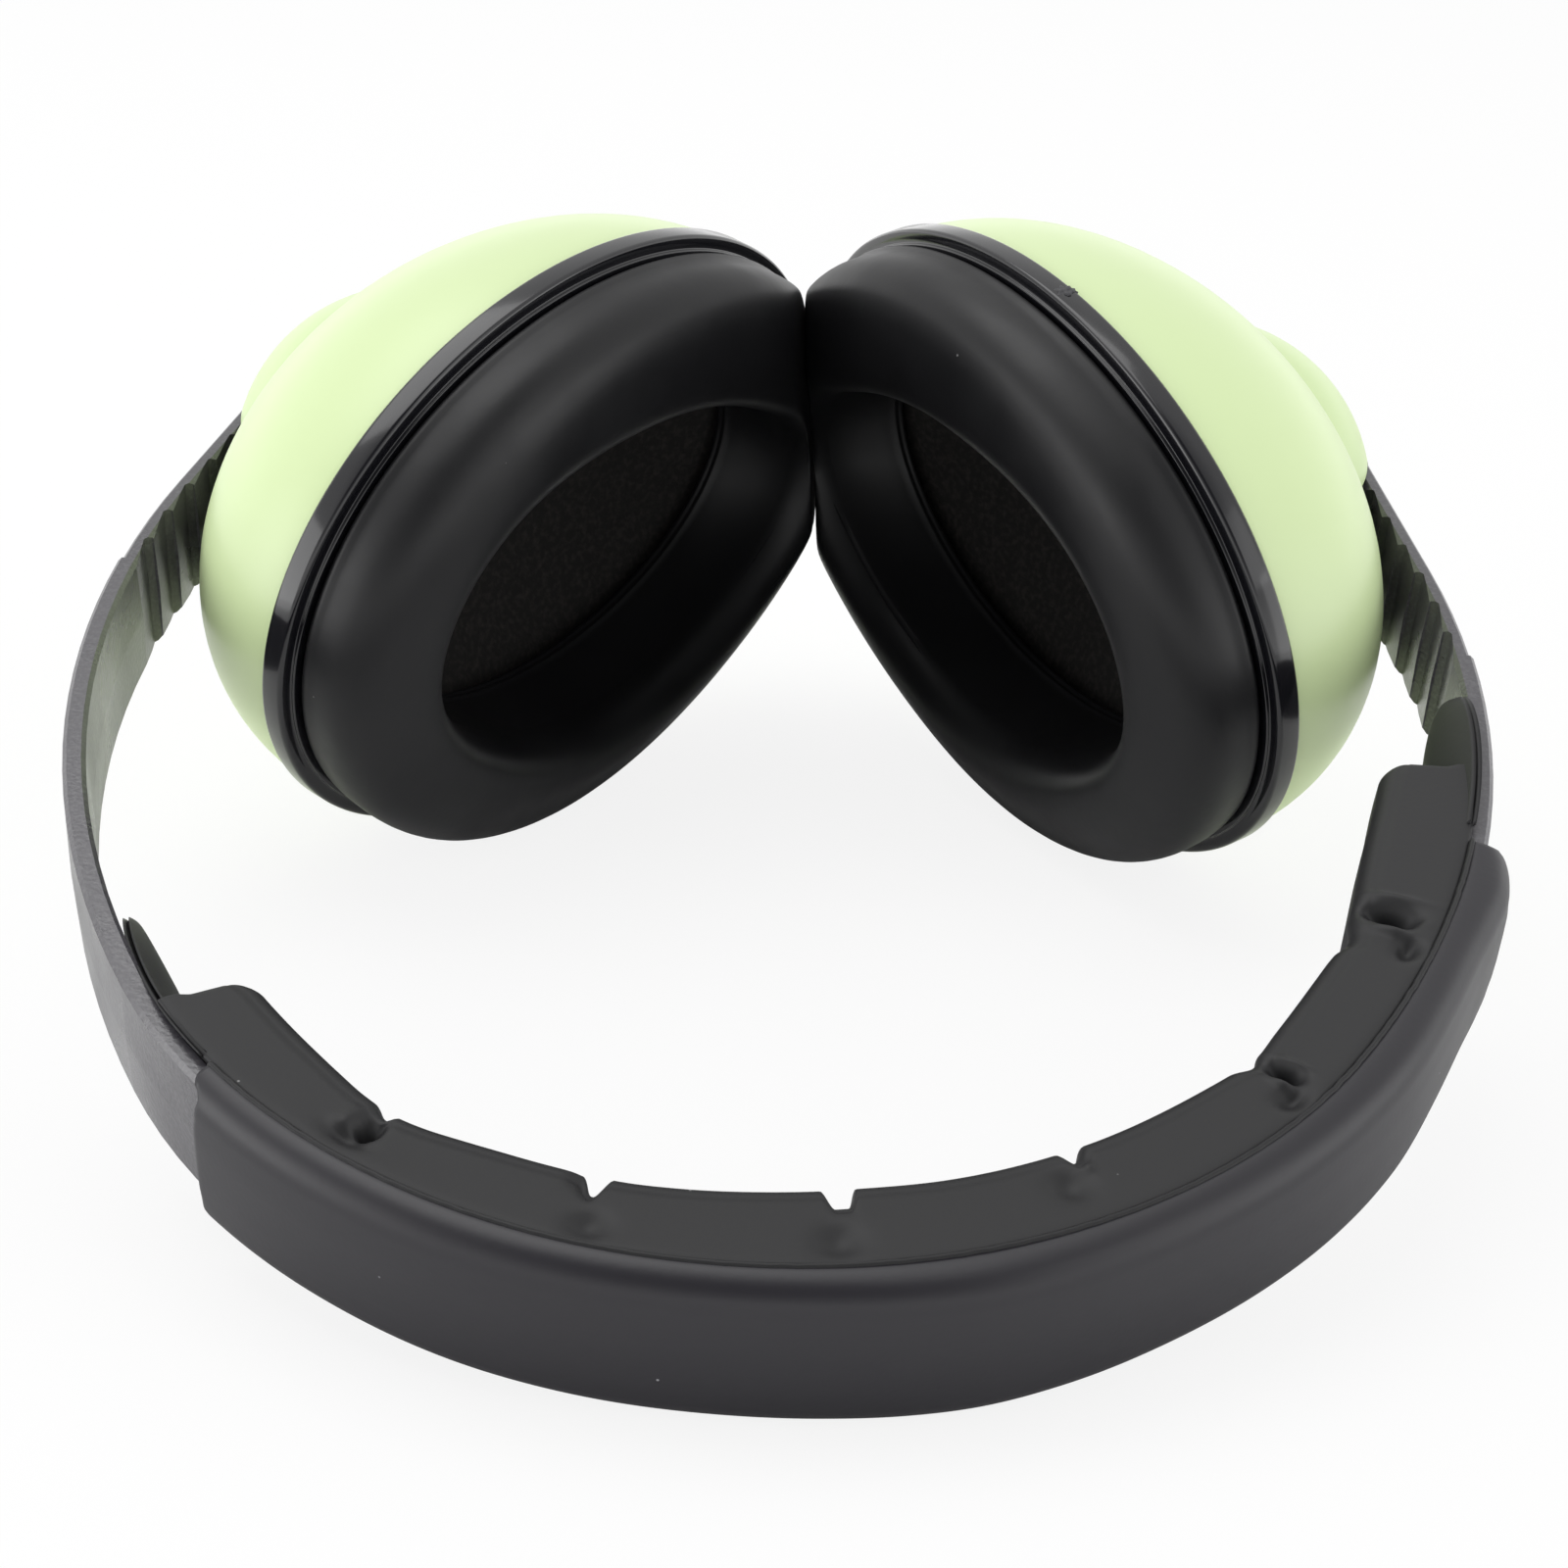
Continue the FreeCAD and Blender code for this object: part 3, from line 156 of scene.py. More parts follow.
def make_piece(name, shape, matrix, material, body, replaced=()):
    """Move a local shape to its place, link it and let it ride on its body."""
    bmesh.ops.remove_doubles(shape, verts=shape.verts, dist=1e-4)
    bmesh.ops.recalc_face_normals(shape, faces=shape.faces)
    bmesh.ops.transform(shape, matrix=matrix, verts=shape.verts)
    for face in shape.faces:
        face.smooth = True
    mesh = bpy.data.meshes.new(name)
    shape.to_mesh(mesh)
    shape.free()
    mesh.materials.append(material)
    piece = bpy.data.objects.new(name, mesh)
    scene.collection.objects.link(piece)
    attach(piece, body)
    if replaced:
        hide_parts(*replaced)
    print(name, len(mesh.polygons), "faces")
    return piece


# %% [markdown]
# ## Finishes
# Black plastic, black vinyl and black foam differ mostly in how they shine. Each finish is one
# Principled shader with its own roughness. A fine bump from noise breaks up its highlights, and a
# few pale specks stand for dust. Painted image maps would do it too. Noise on Object coordinates
# needs no unwrapping, and it stays in place when a piece moves.

# %% Helpers for shader nodes


def add_ramp(tree, source, low, high, to_low, to_high):
    """Values from low to high, turned into values from to_low to to_high."""
    ramp = tree.nodes.new("ShaderNodeMapRange")
    ramp.inputs["From Min"].default_value = low
    ramp.inputs["From Max"].default_value = high
    ramp.inputs["To Min"].default_value = to_low
    ramp.inputs["To Max"].default_value = to_high
    tree.links.new(source, ramp.inputs["Value"])
    return ramp.outputs["Result"]


def add_product(tree, first, second):
    product = tree.nodes.new("ShaderNodeMath")
    product.operation = "MULTIPLY"
    tree.links.new(first, product.inputs[0])
    tree.links.new(second, product.inputs[1])
    return product.outputs[0]


def add_grain(tree, where, scale, detail=2.0):
    """Noise pattern; a larger scale gives a finer grain."""
    pattern = tree.nodes.new("ShaderNodeTexNoise")
    pattern.inputs["Scale"].default_value = scale
    pattern.inputs["Detail"].default_value = detail
    tree.links.new(where, pattern.inputs["Vector"])
    return pattern.outputs["Fac"]


def add_specks(tree, where, scale, radius, share):
    """Small dots, one in some of the cells of a Voronoi pattern."""
    cells = tree.nodes.new("ShaderNodeTexVoronoi")
    cells.inputs["Scale"].default_value = scale
    tree.links.new(where, cells.inputs["Vector"])
    dot = add_ramp(tree, cells.outputs["Distance"], radius * 0.6, radius, 1.0, 0.0)
    picked = add_ramp(tree, cells.outputs["Color"], 1 - share, 1.02 - share, 0.0, 1.0)
    return add_product(tree, dot, picked)


# %% Material helper
BUMP_DEPTH = 0.0001
COAT_ROUGHNESS = 0.08
PATCH_SCALE = 90.0
SPECK_SCALE = 430.0
SPECK_RADIUS = 0.06


def finish(name, color, roughness, bump=0.0, scale=1000.0, patches=0.0, specular=0.5, coat=0.0,
           metal=0.0, dust=0.0, mottle=0.0, mottle_scale=1400.0, second_color=(0.5, 0.5, 0.5)):
    """Principled material: noise bump, faint patches of roughness, specks of dust or a mottle."""
    material = bpy.data.materials.new(name)
    material.use_nodes = True
    tree = material.node_tree
    shader = tree.nodes["Principled BSDF"]
    shader.inputs["Base Color"].default_value = (*color, 1)
    shader.inputs["Roughness"].default_value = roughness
    shader.inputs["Metallic"].default_value = metal
    shader.inputs["Specular IOR Level"].default_value = specular
    shader.inputs["Coat Weight"].default_value = coat
    shader.inputs["Coat Roughness"].default_value = COAT_ROUGHNESS
    where = tree.nodes.new("ShaderNodeTexCoord").outputs["Object"]
    if bump:
        height = tree.nodes.new("ShaderNodeBump")
        height.inputs["Strength"].default_value = bump
        height.inputs["Distance"].default_value = BUMP_DEPTH
        tree.links.new(add_grain(tree, where, scale), height.inputs["Height"])
        tree.links.new(height.outputs["Normal"], shader.inputs["Normal"])
    if patches:
        pattern = add_grain(tree, where, PATCH_SCALE, 3.0)
        rough = add_ramp(tree, pattern, 0.35, 0.65, roughness - patches, roughness + patches)
        tree.links.new(rough, shader.inputs["Roughness"])
    if dust or mottle:
        blend = tree.nodes.new("ShaderNodeMix")
        blend.data_type = "RGBA"
        blend.inputs["A"].default_value = (*color, 1)
        blend.inputs["B"].default_value = (*second_color, 1)
        if dust:
            amount = add_specks(tree, where, SPECK_SCALE, SPECK_RADIUS, dust)
        else:
            pattern = add_grain(tree, where, mottle_scale, 4.0)
            amount = add_ramp(tree, pattern, 0.45, 0.75, 0.0, mottle)
        tree.links.new(amount, blend.inputs["Factor"])
        tree.links.new(blend.outputs["Result"], shader.inputs["Base Color"])
    return material


# %% The finishes of this object
STRAP = finish("strap_satin", (0.045, 0.042, 0.051), 0.30, bump=0.35, scale=2200, patches=0.05,
               specular=1.0, mottle=0.6, mottle_scale=2600, second_color=(0.115, 0.112, 0.12))
SLEEVE = finish("sleeve_skin_satin", (0.0105, 0.0094, 0.0138), 0.42, bump=0.1, scale=1800,
                specular=0.55, dust=0.2, second_color=(0.3, 0.3, 0.32))
PAD = finish("pad_skin_matt", (0.0142, 0.0142, 0.0153), 0.52, bump=0.12, scale=1800,
             specular=0.38, dust=0.2, second_color=(0.3, 0.3, 0.3))
CUSHION = finish("cushion_soft", (0.0068, 0.0068, 0.0078), 0.43, bump=0.08, scale=1500,
                 patches=0.05, specular=0.36, dust=0.15, second_color=(0.25, 0.25, 0.25))
LINER = finish("liner_foam", (0.0095, 0.0085, 0.008), 0.95, bump=0.9, scale=1300,
               mottle=0.3, second_color=(0.07, 0.062, 0.055))
RIM = finish("rim_gloss", (0.006, 0.006, 0.008), 0.16, bump=0.04, scale=700, patches=0.05,
             coat=0.3)
SCAR = finish("rim_torn", (0.04, 0.04, 0.045), 0.55, bump=0.8, scale=1500)
SHELL = finish("shell_satin", (0.66, 0.80, 0.44), 0.34, bump=0.05, scale=500)
# Painted shade: the caps are the shells' green, made a little darker and more saturated.
CAP_PAINTED_SHADE = finish("cap_satin_painted_shade", (0.63, 0.78, 0.41), 0.36, bump=0.05, scale=500)
NYLON = finish("nylon_natural", (0.72, 0.71, 0.66), 0.5)
STEEL = finish("steel_plain", (0.55, 0.55, 0.57), 0.3, metal=1.0)
print("materials in the file", len(bpy.data.materials))

# %% [markdown]
# ## Paint on the rigid pieces
# Strap, caps, shells and the works inside the caps are the imported solids. They are moulded or
# pressed in one colour each, so one material on the whole piece is enough and nothing is unwrapped.
# The caps get the shells' green made a little darker and more saturated, as painted shade.

# %% Repaint the imported nodes


def repaint(node, material):
    mesh = nodes[node].data
    mesh.materials.clear()
    mesh.materials.append(material)


SIDE_FINISHES = {"pivot_cap_": CAP_PAINTED_SHADE, "cup_shell_": SHELL, "slider_base_": NYLON,
                 "socket_bush_": NYLON, "bush_retainer_": NYLON, "detent_spring_": STEEL,
                 "base_screws_": STEEL, "ball_stud_": STEEL}
repaint("headband", STRAP)
for side in SIDES:
    for node, material in SIDE_FINISHES.items():
        repaint(node + side, material)
print("repainted", 1 + 2 * len(SIDE_FINISHES), "nodes")

# %% [markdown]
# ## Long pieces with one section
# The skin, the padding and the welds of the sleeve all have one section that runs along the strap.
# A curve with a bevel profile could make them. Here the section is spun in a straight line, which
# extrudes it in equal steps, and the points are then placed by strap_point. Between the two, each
# point can still be moved by its plain place along the strap.

# %% Draw out a section


def run_section(section, start, end, steps):
    """Closed section of (out, high) points drawn out along X in equal steps, with both ends shut."""
    shape = bmesh.new()
    ring = [shape.verts.new((start, out, high)) for out, high in section]
    edges = [shape.edges.new((ring[index - 1], vert)) for index, vert in enumerate(ring)]
    first = shape.faces.new(ring)
    step = Vector(((end - start) / steps, 0, 0))
    bmesh.ops.spin(shape, geom=edges, cent=(0, 0, 0), axis=(1, 0, 0), dvec=step, angle=0,
                   steps=steps, use_merge=False, use_normal_flip=False, use_duplicate=False)
    last = [edge for edge in shape.edges if edge.is_boundary]
    bmesh.ops.contextual_create(shape, geom=last)
    first.normal_update()
    return shape


def arc_points(centre, radius, first, last, count):
    """Points of an arc, from the first angle to the last one, in degrees."""
    points = []
    for index in range(count + 1):
        angle = math.radians(first + (last - first) * index / count)
        points.append((centre[0] + radius * math.cos(angle), centre[1] + radius * math.sin(angle)))
    return points


# %% Soft steps and curves


def smooth_step(value):
    """0 up to 0, 1 from 1 on, and a soft rise between them."""
    value = min(max(value, 0.0), 1.0)
    return value * value * (3 - 2 * value)


def fair_value(table, along):
    """Smooth value between the (place, value) pairs of a table."""
    last = len(table) - 1
    index = 0
    while index < last - 1 and along > table[index + 1][0]:
        index += 1
    before, here, there, after = (table[min(max(index + step, 0), last)] for step in (-1, 0, 1, 2))
    span = there[0] - here[0]
    share = min(max((along - here[0]) / span, 0.0), 1.0)
    leave = (there[1] - before[1]) / (there[0] - before[0]) * span
    arrive = (after[1] - here[1]) / (after[0] - here[0]) * span
    square, cube = share * share, share ** 3
    return (here[1] * (2 * cube - 3 * square + 1) + leave * (cube - 2 * square + share)
            + there[1] * (3 * square - 2 * cube) + arrive * (cube - square))


def end_round(past, radius):
    """How far a rounded end stands back from its side, at a distance from the end."""
    gap = min(max(radius - past, 0.0), radius)
    return radius - math.sqrt(radius * radius - gap * gap)


# %% [markdown]
# ## The sleeve's outer skin
# A smooth vinyl skin lies round the outside of the strap, with a soft shoulder towards the seam.
# A cloth simulation would give it folds that the real one doesn't have. So it is one section with
# round corners, led along the strap, and a table says where the skin stands a little off it.

# %% Section of the outer skin
SKIN_HALF = 7.3
SKIN_FACE = 4.0
SKIN_SEAM = 0.55
SKIN_TOP_ROUND = 2.9
SKIN_LOW_ROUND = 2.3


def skin_section():
    """Outer line from the top seam round the shoulders to the bottom seam, then back inside."""
    outer = [(SKIN_SEAM, SKIN_HALF - 0.1)]
    outer += arc_points((0.9, SKIN_HALF - SKIN_TOP_ROUND), SKIN_TOP_ROUND, 88, 0, 12)
    outer += [(SKIN_FACE - 0.03, 3.0), (SKIN_FACE, 1.5), (SKIN_FACE, 0.0), (SKIN_FACE, -1.5),
              (SKIN_FACE - 0.05, -3.0), (SKIN_FACE - 0.15, -4.2)]
    outer += arc_points((1.5, -SKIN_HALF + SKIN_LOW_ROUND), SKIN_LOW_ROUND, -5, -88, 9)
    outer += [(SKIN_SEAM, -SKIN_HALF + 0.05)]
    inner = [(SKIN_SEAM, -SKIN_HALF + 0.85), (2.1, -SKIN_HALF + 1.0), (2.55, -5.2), (2.6, 0.0),
             (2.5, 4.6), (1.6, 6.1), (SKIN_SEAM, SKIN_HALF - 0.85)]
    return outer + inner


# %% Outer skin
SKIN_START = -44.0
SKIN_END = 92.9
SKIN_STEPS = 460
SKIN_CORNER = 2.2
SKIN_END_ROUND = 0.5
START_OVERHANG = 1.4
END_CUT_BACK = 0.6
FLOOR_GAP = 0.00005
# (place along the strap, how far the skin stands off there)
SKIN_SWELL = ((-44, -0.1), (-30, -0.05), (-20, 0.1), (-10, 0.05), (0, 0.0), (8, 0.2), (14, 0.5),
              (20, 0.7), (27, 0.5), (36, 0.2), (45, 0.25), (54, 0.5), (63, 0.75), (72, 0.5),
              (79, 0.5), (84, 0.85), (88, 1.1), (91, 0.75), (93, 0.2))


def make_skin():
    shape = run_section(skin_section(), 0.0, 1.0, SKIN_STEPS)
    for vert in shape.verts:
        share, out, high = vert.co
        top_edge = smooth_step((high - 6.0) / 1.2)
        corner = end_round(high + SKIN_HALF, SKIN_CORNER)
        start = SKIN_START - START_OVERHANG * top_edge + corner
        end = SKIN_END - END_CUT_BACK * top_edge - corner
        along = start + (end - start) * share
        swell = fair_value(SKIN_SWELL, along) * smooth_step(out / 2.6)
        past = min(along - start, end - along)
        rounded = end_round(past, SKIN_END_ROUND) * smooth_step((out - 2.7) / 0.6)
        vert.co = strap_point(along, out + swell - 0.8 * rounded, high)
    return make_piece("sleeve_skin", shape, BAND, SLEEVE, "band", ("sleeve_outer",))


sleeve_skin = make_skin()
for vert in sleeve_skin.data.vertices:
    vert.co.z = max(vert.co.z, FLOOR_GAP)  # it rests on the floor and doesn't sink in

# %% [markdown]
# ## The padded inner skin
# Seven foam pads sit under one skin, which is welded down between them. Each weld pulls the skin
# in, so the row of pads shows short notches on its inner edge and a dent beside each of them.
# Cloth blown up between pinned seams would give puffy pads of its own making. The real notches
# differ from each other and can be measured, so each one is a row of sizes in a table.

# %% Section of the padding
PAD_DEPTH = 7.9
PAD_CORNER = 1.6


def pad_section():
    """Top face with its points close together, round corner, inner face, and back to the strap."""
    top = [(0.45, 7.05), (0.1, 7.12)]
    top += [(-0.5 * step, 7.15 - 0.042 * step) for step in range(1, 13)]
    corner = arc_points((-PAD_DEPTH + PAD_CORNER, 4.95), PAD_CORNER, 86, 180, 10)
    face = [(-PAD_DEPTH - 0.1, 3.0), (-PAD_DEPTH - 0.15, 1.0), (-PAD_DEPTH - 0.15, -1.0),
            (-PAD_DEPTH - 0.1, -3.0)]
    low_corner = arc_points((-PAD_DEPTH + PAD_CORNER, -4.95), PAD_CORNER, 180, 270, 8)
    bottom = [(-4.5, -6.65), (-3.0, -6.8), (-1.5, -7.0), (-0.3, -7.15), (0.45, -7.05)]
    back = [(0.45, -6.5), (-0.35, -6.4), (-0.35, 0.0), (-0.35, 6.4), (0.45, 6.5)]
    return top + corner + face + low_corner + bottom + back


# %% Swell, notches and dents of the padding
WELD_DEPTH = 2.2
# (place along the strap, how far the pads stand proud there)
PAD_SWELL = ((-54.8, -0.1), (-48, -0.05), (-43, -0.2), (-39, -0.5), (-35, -0.95), (-31, -1.2),
             (-28, -1.0), (-24, -0.5), (-20, -0.15), (-14, 0.05), (-9, 0.1), (-4, 0.37), (3, 0.72),
             (8, 0.85), (13, 0.93), (20, 0.72), (28, 0.55), (35, 0.37), (42, 0.16), (47, -0.12),
             (51, -0.5), (55, -1.0), (60, -0.7), (66, -0.57), (71, -0.65), (75, -0.9), (79, -0.4),
             (84, 0.17), (90, 0.58), (96, 0.55), (100, 0.4), (104, 0.3))
# (middle, depth at the top edge, half of the flat bottom, left wall, right wall)
NOTCHES = ((-31.2, 0.8, 0.1, 2.3, 0.7), (-11.0, 2.1, 0.1, 1.7, 1.1), (10.2, 2.05, 0.6, 1.1, 1.0),
           (31.8, 1.4, 0.15, 0.9, 2.0), (54.0, 0.5, 0.3, 2.2, 1.8), (74.9, 0.45, 0.5, 1.8, 3.0))
# (along, out, half length, half width, depth); a depth below 0 is a ridge beside a hole
DENTS = ((-31.3, -4.7, 1.0, 1.3, 2.3), (-32.0, -2.1, 1.9, 1.1, 0.9), (-33.4, -4.2, 0.8, 1.6, -0.3),
         (-12.4, -6.6, 1.0, 1.0, 0.7), (-10.2, -1.6, 1.6, 1.3, 0.8), (9.4, -1.9, 1.7, 1.3, 0.8),
         (29.7, -3.6, 1.6, 1.4, 0.8), (32.2, -5.6, 0.5, 0.9, -0.3), (54.5, -4.5, 0.8, 1.6, 2.5),
         (55.9, -4.2, 0.45, 1.5, -0.35), (53.0, -3.7, 0.5, 1.5, -0.4), (52.0, -1.5, 1.5, 1.2, 1.1),
         (79.5, -4.2, 1.0, 2.0, 3.1), (81.9, -4.2, 0.6, 2.4, -0.4), (77.1, -4.0, 0.6, 2.2, -0.5),
         (79.3, -1.3, 0.8, 0.7, -0.35), (75.4, -1.7, 1.5, 1.2, 1.2))


def hump(distance, width):
    """1 at the middle, 0.37 a width away, soon 0."""
    return math.exp(-(distance / width) ** 2)


def notch_pull(along, high, notch):
    """How far a notch pulls the skin in: full over its flat bottom, falling to 0 over its walls."""
    middle, top_depth, flat, left_wall, right_wall = notch
    distance = along - middle
    wall = left_wall if distance < 0 else right_wall
    valley = 1 - smooth_step((abs(distance) - flat) / wall)
    depth = top_depth + (WELD_DEPTH - top_depth) * (1 - smooth_step((high - 2.5) / 2.5))
    return depth * valley


def dent_depth(along, out):
    """How far the top face is pressed down by all dents together."""
    return sum(depth * hump(along - spot, long) * hump(out - place, wide)
               for spot, place, long, wide, depth in DENTS)


# %% Padding
PAD_START = -54.8
PAD_END = 104.2
PAD_STEPS = 880
PAD_END_ROUND = 2.9
PAD_TOP_ROUND = 1.0


def pad_shape(along, out, high):
    """Where a point of the plain section goes: swollen, pinched, dented and round at both ends."""
    deep = min(max(-out / PAD_DEPTH, 0.0), 1.0)
    past = min(along - PAD_START, PAD_END - along)
    moved = out - fair_value(PAD_SWELL, along) * smooth_step(deep * 1.6)
    pull = sum(notch_pull(along, high, notch) for notch in NOTCHES)
    moved += pull * smooth_step((deep - 0.35) / 0.6)
    moved += end_round(past, PAD_END_ROUND) * deep * deep
    lowered = high - dent_depth(along, out) * smooth_step((high - 4.4) / 1.0)
    shrink = end_round(past, PAD_TOP_ROUND) * 0.8 * smooth_step((deep - 0.15) / 0.2)
    return along, moved, lowered - math.copysign(shrink, high)


def make_pad():
    shape = run_section(pad_section(), PAD_START, PAD_END, PAD_STEPS)
    for vert in shape.verts:
        vert.co = strap_point(*pad_shape(*vert.co))
    return make_piece("sleeve_pads", shape, BAND, PAD, "band", ("sleeve_inner", "sleeve_foam"))


sleeve_pads = make_pad()

# %% [markdown]
# ## The end tabs
# At each end the two skins run on together as a thin pointed tab that lies loosely on the strap.
# A flat outline with thickness would do for a stiff tab. This one is curled and hollow across, so
# a grid is bent point by point, and Solidify gives it its thickness. Two such layers lie one on
# the other, and their edges show as a double line.

# %% Tabs
LAYER_THICK = 0.3
LAYER_APART = 0.26
TIP_HALF = 0.25
LOW_CURL = 0.2
# half: half width at the root; lean: how much higher the tip is; point: how full and how blunt the
# outline is; off and cup: how far it stands off the strap, and how hollow it is, as curve terms
TABS = {
    "tab_left": {"root": -47.0, "tip": -74.3, "half": 7.0, "lean": -0.5, "point": (2.26, 0.68),
                 "off": (-0.38, -0.53, 2.59), "cup": (2.26, 4.44, -4.61)},
    "tab_right": {"root": 95.0, "tip": 116.9, "half": 7.2, "lean": 5.4, "point": (2.92, 0.75),
                  "off": (-0.43, -0.33, 1.02), "cup": (3.96, -0.31, 0.85)},
}


def curve_value(terms, share):
    return terms[0] + terms[1] * share + terms[2] * share * share


def tab_point(form, share, across, apart):
    """Point of one layer: share from root to tip, across from bottom edge to top edge."""
    power, blunt = form["point"]
    half = form["half"] * (1 - share ** power) ** blunt + TIP_HALF
    cup = curve_value(form["cup"], share) * (1 - across * across) * (half / form["half"]) ** 0.7
    off = curve_value(form["off"], share) + cup + apart + LOW_CURL * share * (1 - across)
    along = form["root"] + (form["tip"] - form["root"]) * share
    return strap_point(along, -off, form["lean"] * share * share + across * half)


def make_tab(name):
    form = TABS[name]
    both = bmesh.new()
    for apart in (-LAYER_APART, LAYER_APART):
        sheet = bmesh.ops.create_grid(both, x_segments=60, y_segments=36, size=1.0)["verts"]
        for vert in sheet:
            share = min((vert.co.x + 1) / 2, 0.9999)
            vert.co = tab_point(form, share, vert.co.y, apart)
        members = set(sheet)
        faces = [face for face in both.faces if face.verts[0] in members]
        bmesh.ops.solidify(both, geom=faces, thickness=LAYER_THICK)
    piece = make_piece(name, both, BAND, PAD, "band", ())


for name in TABS:
    make_tab(name)

# %% [markdown]
# ## The weld along the sleeve
# Outer and inner skin are welded together along both long edges. The weld is a narrow raised lip,
# which catches a thin line of light. A bevel on the skins' edges would be perfectly even. A lip of
# its own, moved a few hundredths of a millimetre in and out by noise, is as uneven as a real weld.

# %% Weld lips
WELD_STEPS = 420
WELD_UNEVEN = 0.07
WELD_LINE = ((0.25, 6.8), (0.42, 7.3), (0.52, 7.42), (0.66, 7.46), (0.8, 7.4), (0.9, 7.25),
             (1.05, 6.8))


def make_weld(name, side):
    """Small rounded lip on the seam; side is 1 at the top and -1 at the bottom."""
    section = [(out, high * side) for out, high in WELD_LINE]
    lip = run_section(section, SKIN_START - 1.6, SKIN_END - 0.4, WELD_STEPS)
    for vert in lip.verts:
        along, out, high = vert.co
        uneven = noise.noise(Vector((along * 0.9, 0.0, 3.0))) * WELD_UNEVEN
        vert.co = strap_point(along, out + uneven, high)
    make_piece(name, lip, BAND, PAD, "band", ())


make_weld("weld_top", 1)
make_weld("weld_bottom", -1)

# %% [markdown]
# ## Rings on an oval
# Cushion, collar and rim are rings that follow the oval of the cup. A curve with a bevel profile
# could draw them. A full spin of the section round a circle is used instead: each point of that
# ring knows its angle and its place in the section, and is then moved beside the oval.

# %% Oval and spun section
CUP_LONG = 42.6
CUP_SHORT = 31.4
RING_STEPS = 256
SPIN_RADIUS = 10.0
SHRINK = 0.1  # a section is spun at this scale, so that it stays clear of the middle


def oval_point(turn, out, long_half, short_half):
    """Point beside an oval, out along its normal, and the normal itself."""
    spot = Vector((long_half * math.cos(turn), short_half * math.sin(turn), 0))
    normal = Vector((short_half * math.cos(turn), long_half * math.sin(turn), 0)).normalized()
    return spot + normal * out, normal


def ring_point(turn, out, up, long_half, short_half):
    """Point of a ring: out from the oval and up towards the head."""
    point, _ = oval_point(turn, out, long_half, short_half)
    point.z = -up
    return point


def spin_section(section):
    """Round ring with a closed section of (out, up) points, all at the shrunk scale."""
    shape = bmesh.new()
    ring = [shape.verts.new((SPIN_RADIUS + out * SHRINK, 0, up * SHRINK)) for out, up in section]
    edges = [shape.edges.new((ring[index - 1], vert)) for index, vert in enumerate(ring)]
    bmesh.ops.spin(shape, geom=edges, cent=(0, 0, 0), axis=(0, 0, 1), angle=2 * math.pi,
                   steps=RING_STEPS, use_merge=True)
    return shape


def ring_place(vert):
    """Angle of a spun point round the ring, and its full-size place (out, up) in the section."""
    turn = math.atan2(vert.co.y, vert.co.x)
    out = (math.hypot(vert.co.x, vert.co.y) - SPIN_RADIUS) / SHRINK
    return turn, out, vert.co.z / SHRINK


# %% [markdown]
# ## Cushions
# Each cushion is a foam ring in a thin soft skin. It has a straight outer wall that flares a little
# onto the rim, a round crown, and an oval mouth. The foam has slipped a little in its skin, so the
# mouth's edge leans in on the upper side and out at the far end. There the two cushions press each
# other flat. Two soft bodies could be pressed together in a simulation. Here every point is kept on
# its own side of one plane, which gives the same flat face and is the same in every run.

# %% Section of the cushion
CUSHION_INSET = 0.9
CUSHION_HALF = 5.7
CUSHION_BELLY = 6.6
CUSHION_FOOT = 3.1
CROWN_BROAD = 0.92
CROWN_FULL = 0.95
WALL_STRAIGHT = 1.25
WALL_CORNER = 0.6
FOOT_FLAT = 1.15
FOOT_DRAWN = 0.4
SECTION_STEPS = 56
LINE_LONG = CUP_LONG - CUSHION_INSET - CUSHION_HALF
LINE_SHORT = CUP_SHORT - CUSHION_INSET - CUSHION_HALF


def cushion_section(angle):
    """Section of the cushion: outwards and towards the head, for an angle from outwards up."""
    across = math.cos(angle)
    upward = math.sin(angle)
    if upward >= 0:
        reach = math.copysign(abs(across) ** CROWN_BROAD, across)
        return CUSHION_HALF * reach, CUSHION_BELLY + CUSHION_HALF * upward ** CROWN_FULL
    reach = math.copysign(min(1.0, WALL_STRAIGHT * abs(across)) ** WALL_CORNER, across)
    depth = min(1.0, FOOT_FLAT * -upward)
    drawn = FOOT_DRAWN * depth * depth
    return (CUSHION_HALF - drawn) * reach, CUSHION_BELLY - (CUSHION_BELLY - CUSHION_FOOT) * depth


# %% How the foam has moved
# (rise of the free side, its angle, rise where the cushions press, its angle), in mm and degrees
SPREAD = {"left": (1.5, 120.0, -0.5, 40.0), "right": (0.6, -122.0, -0.7, -55.0)}
FREE_WIDTH = 48.0
PRESSED_WIDTH = 40.0
FLARE = 0.75
DRAWN_BACK = 1.0
DRAWN_BACK_TURN = 140.0
DRAWN_BACK_WIDTH = 38.0
# (angle, how far the mouth's edge leans in); 0 is the far end and 270 the upper side
MOUTH_LEAN = ((-45, 2.7), (0, -2.2), (45, -1.3), (90, -0.8), (135, 0.8), (180, 0.5), (225, 0.3),
              (270, 2.7), (315, 2.7), (360, -2.2), (405, -1.3))
MOUTH_RISE = 2.0


def hump_at(degrees, middle, width):
    """A hump round a full turn, with its top at the middle angle."""
    return hump((degrees - middle + 180) % 360 - 180, width)


def spread_height(side, turn):
    """The foam stands taller on its free lower side and gives way where the cushions press."""
    free, free_turn, pressed, pressed_turn = SPREAD[side]
    degrees = math.degrees(turn)
    tall = free * hump_at(degrees, free_turn, FREE_WIDTH)
    return tall + pressed * hump_at(degrees, pressed_turn, PRESSED_WIDTH)


def foot_flare(side, turn):
    """The outer wall flares onto the rim, but draws back low down on the side of the headband."""
    degrees = math.degrees(turn) * (1 if side == "left" else -1)
    return FLARE - DRAWN_BACK * hump_at(degrees, DRAWN_BACK_TURN, DRAWN_BACK_WIDTH)


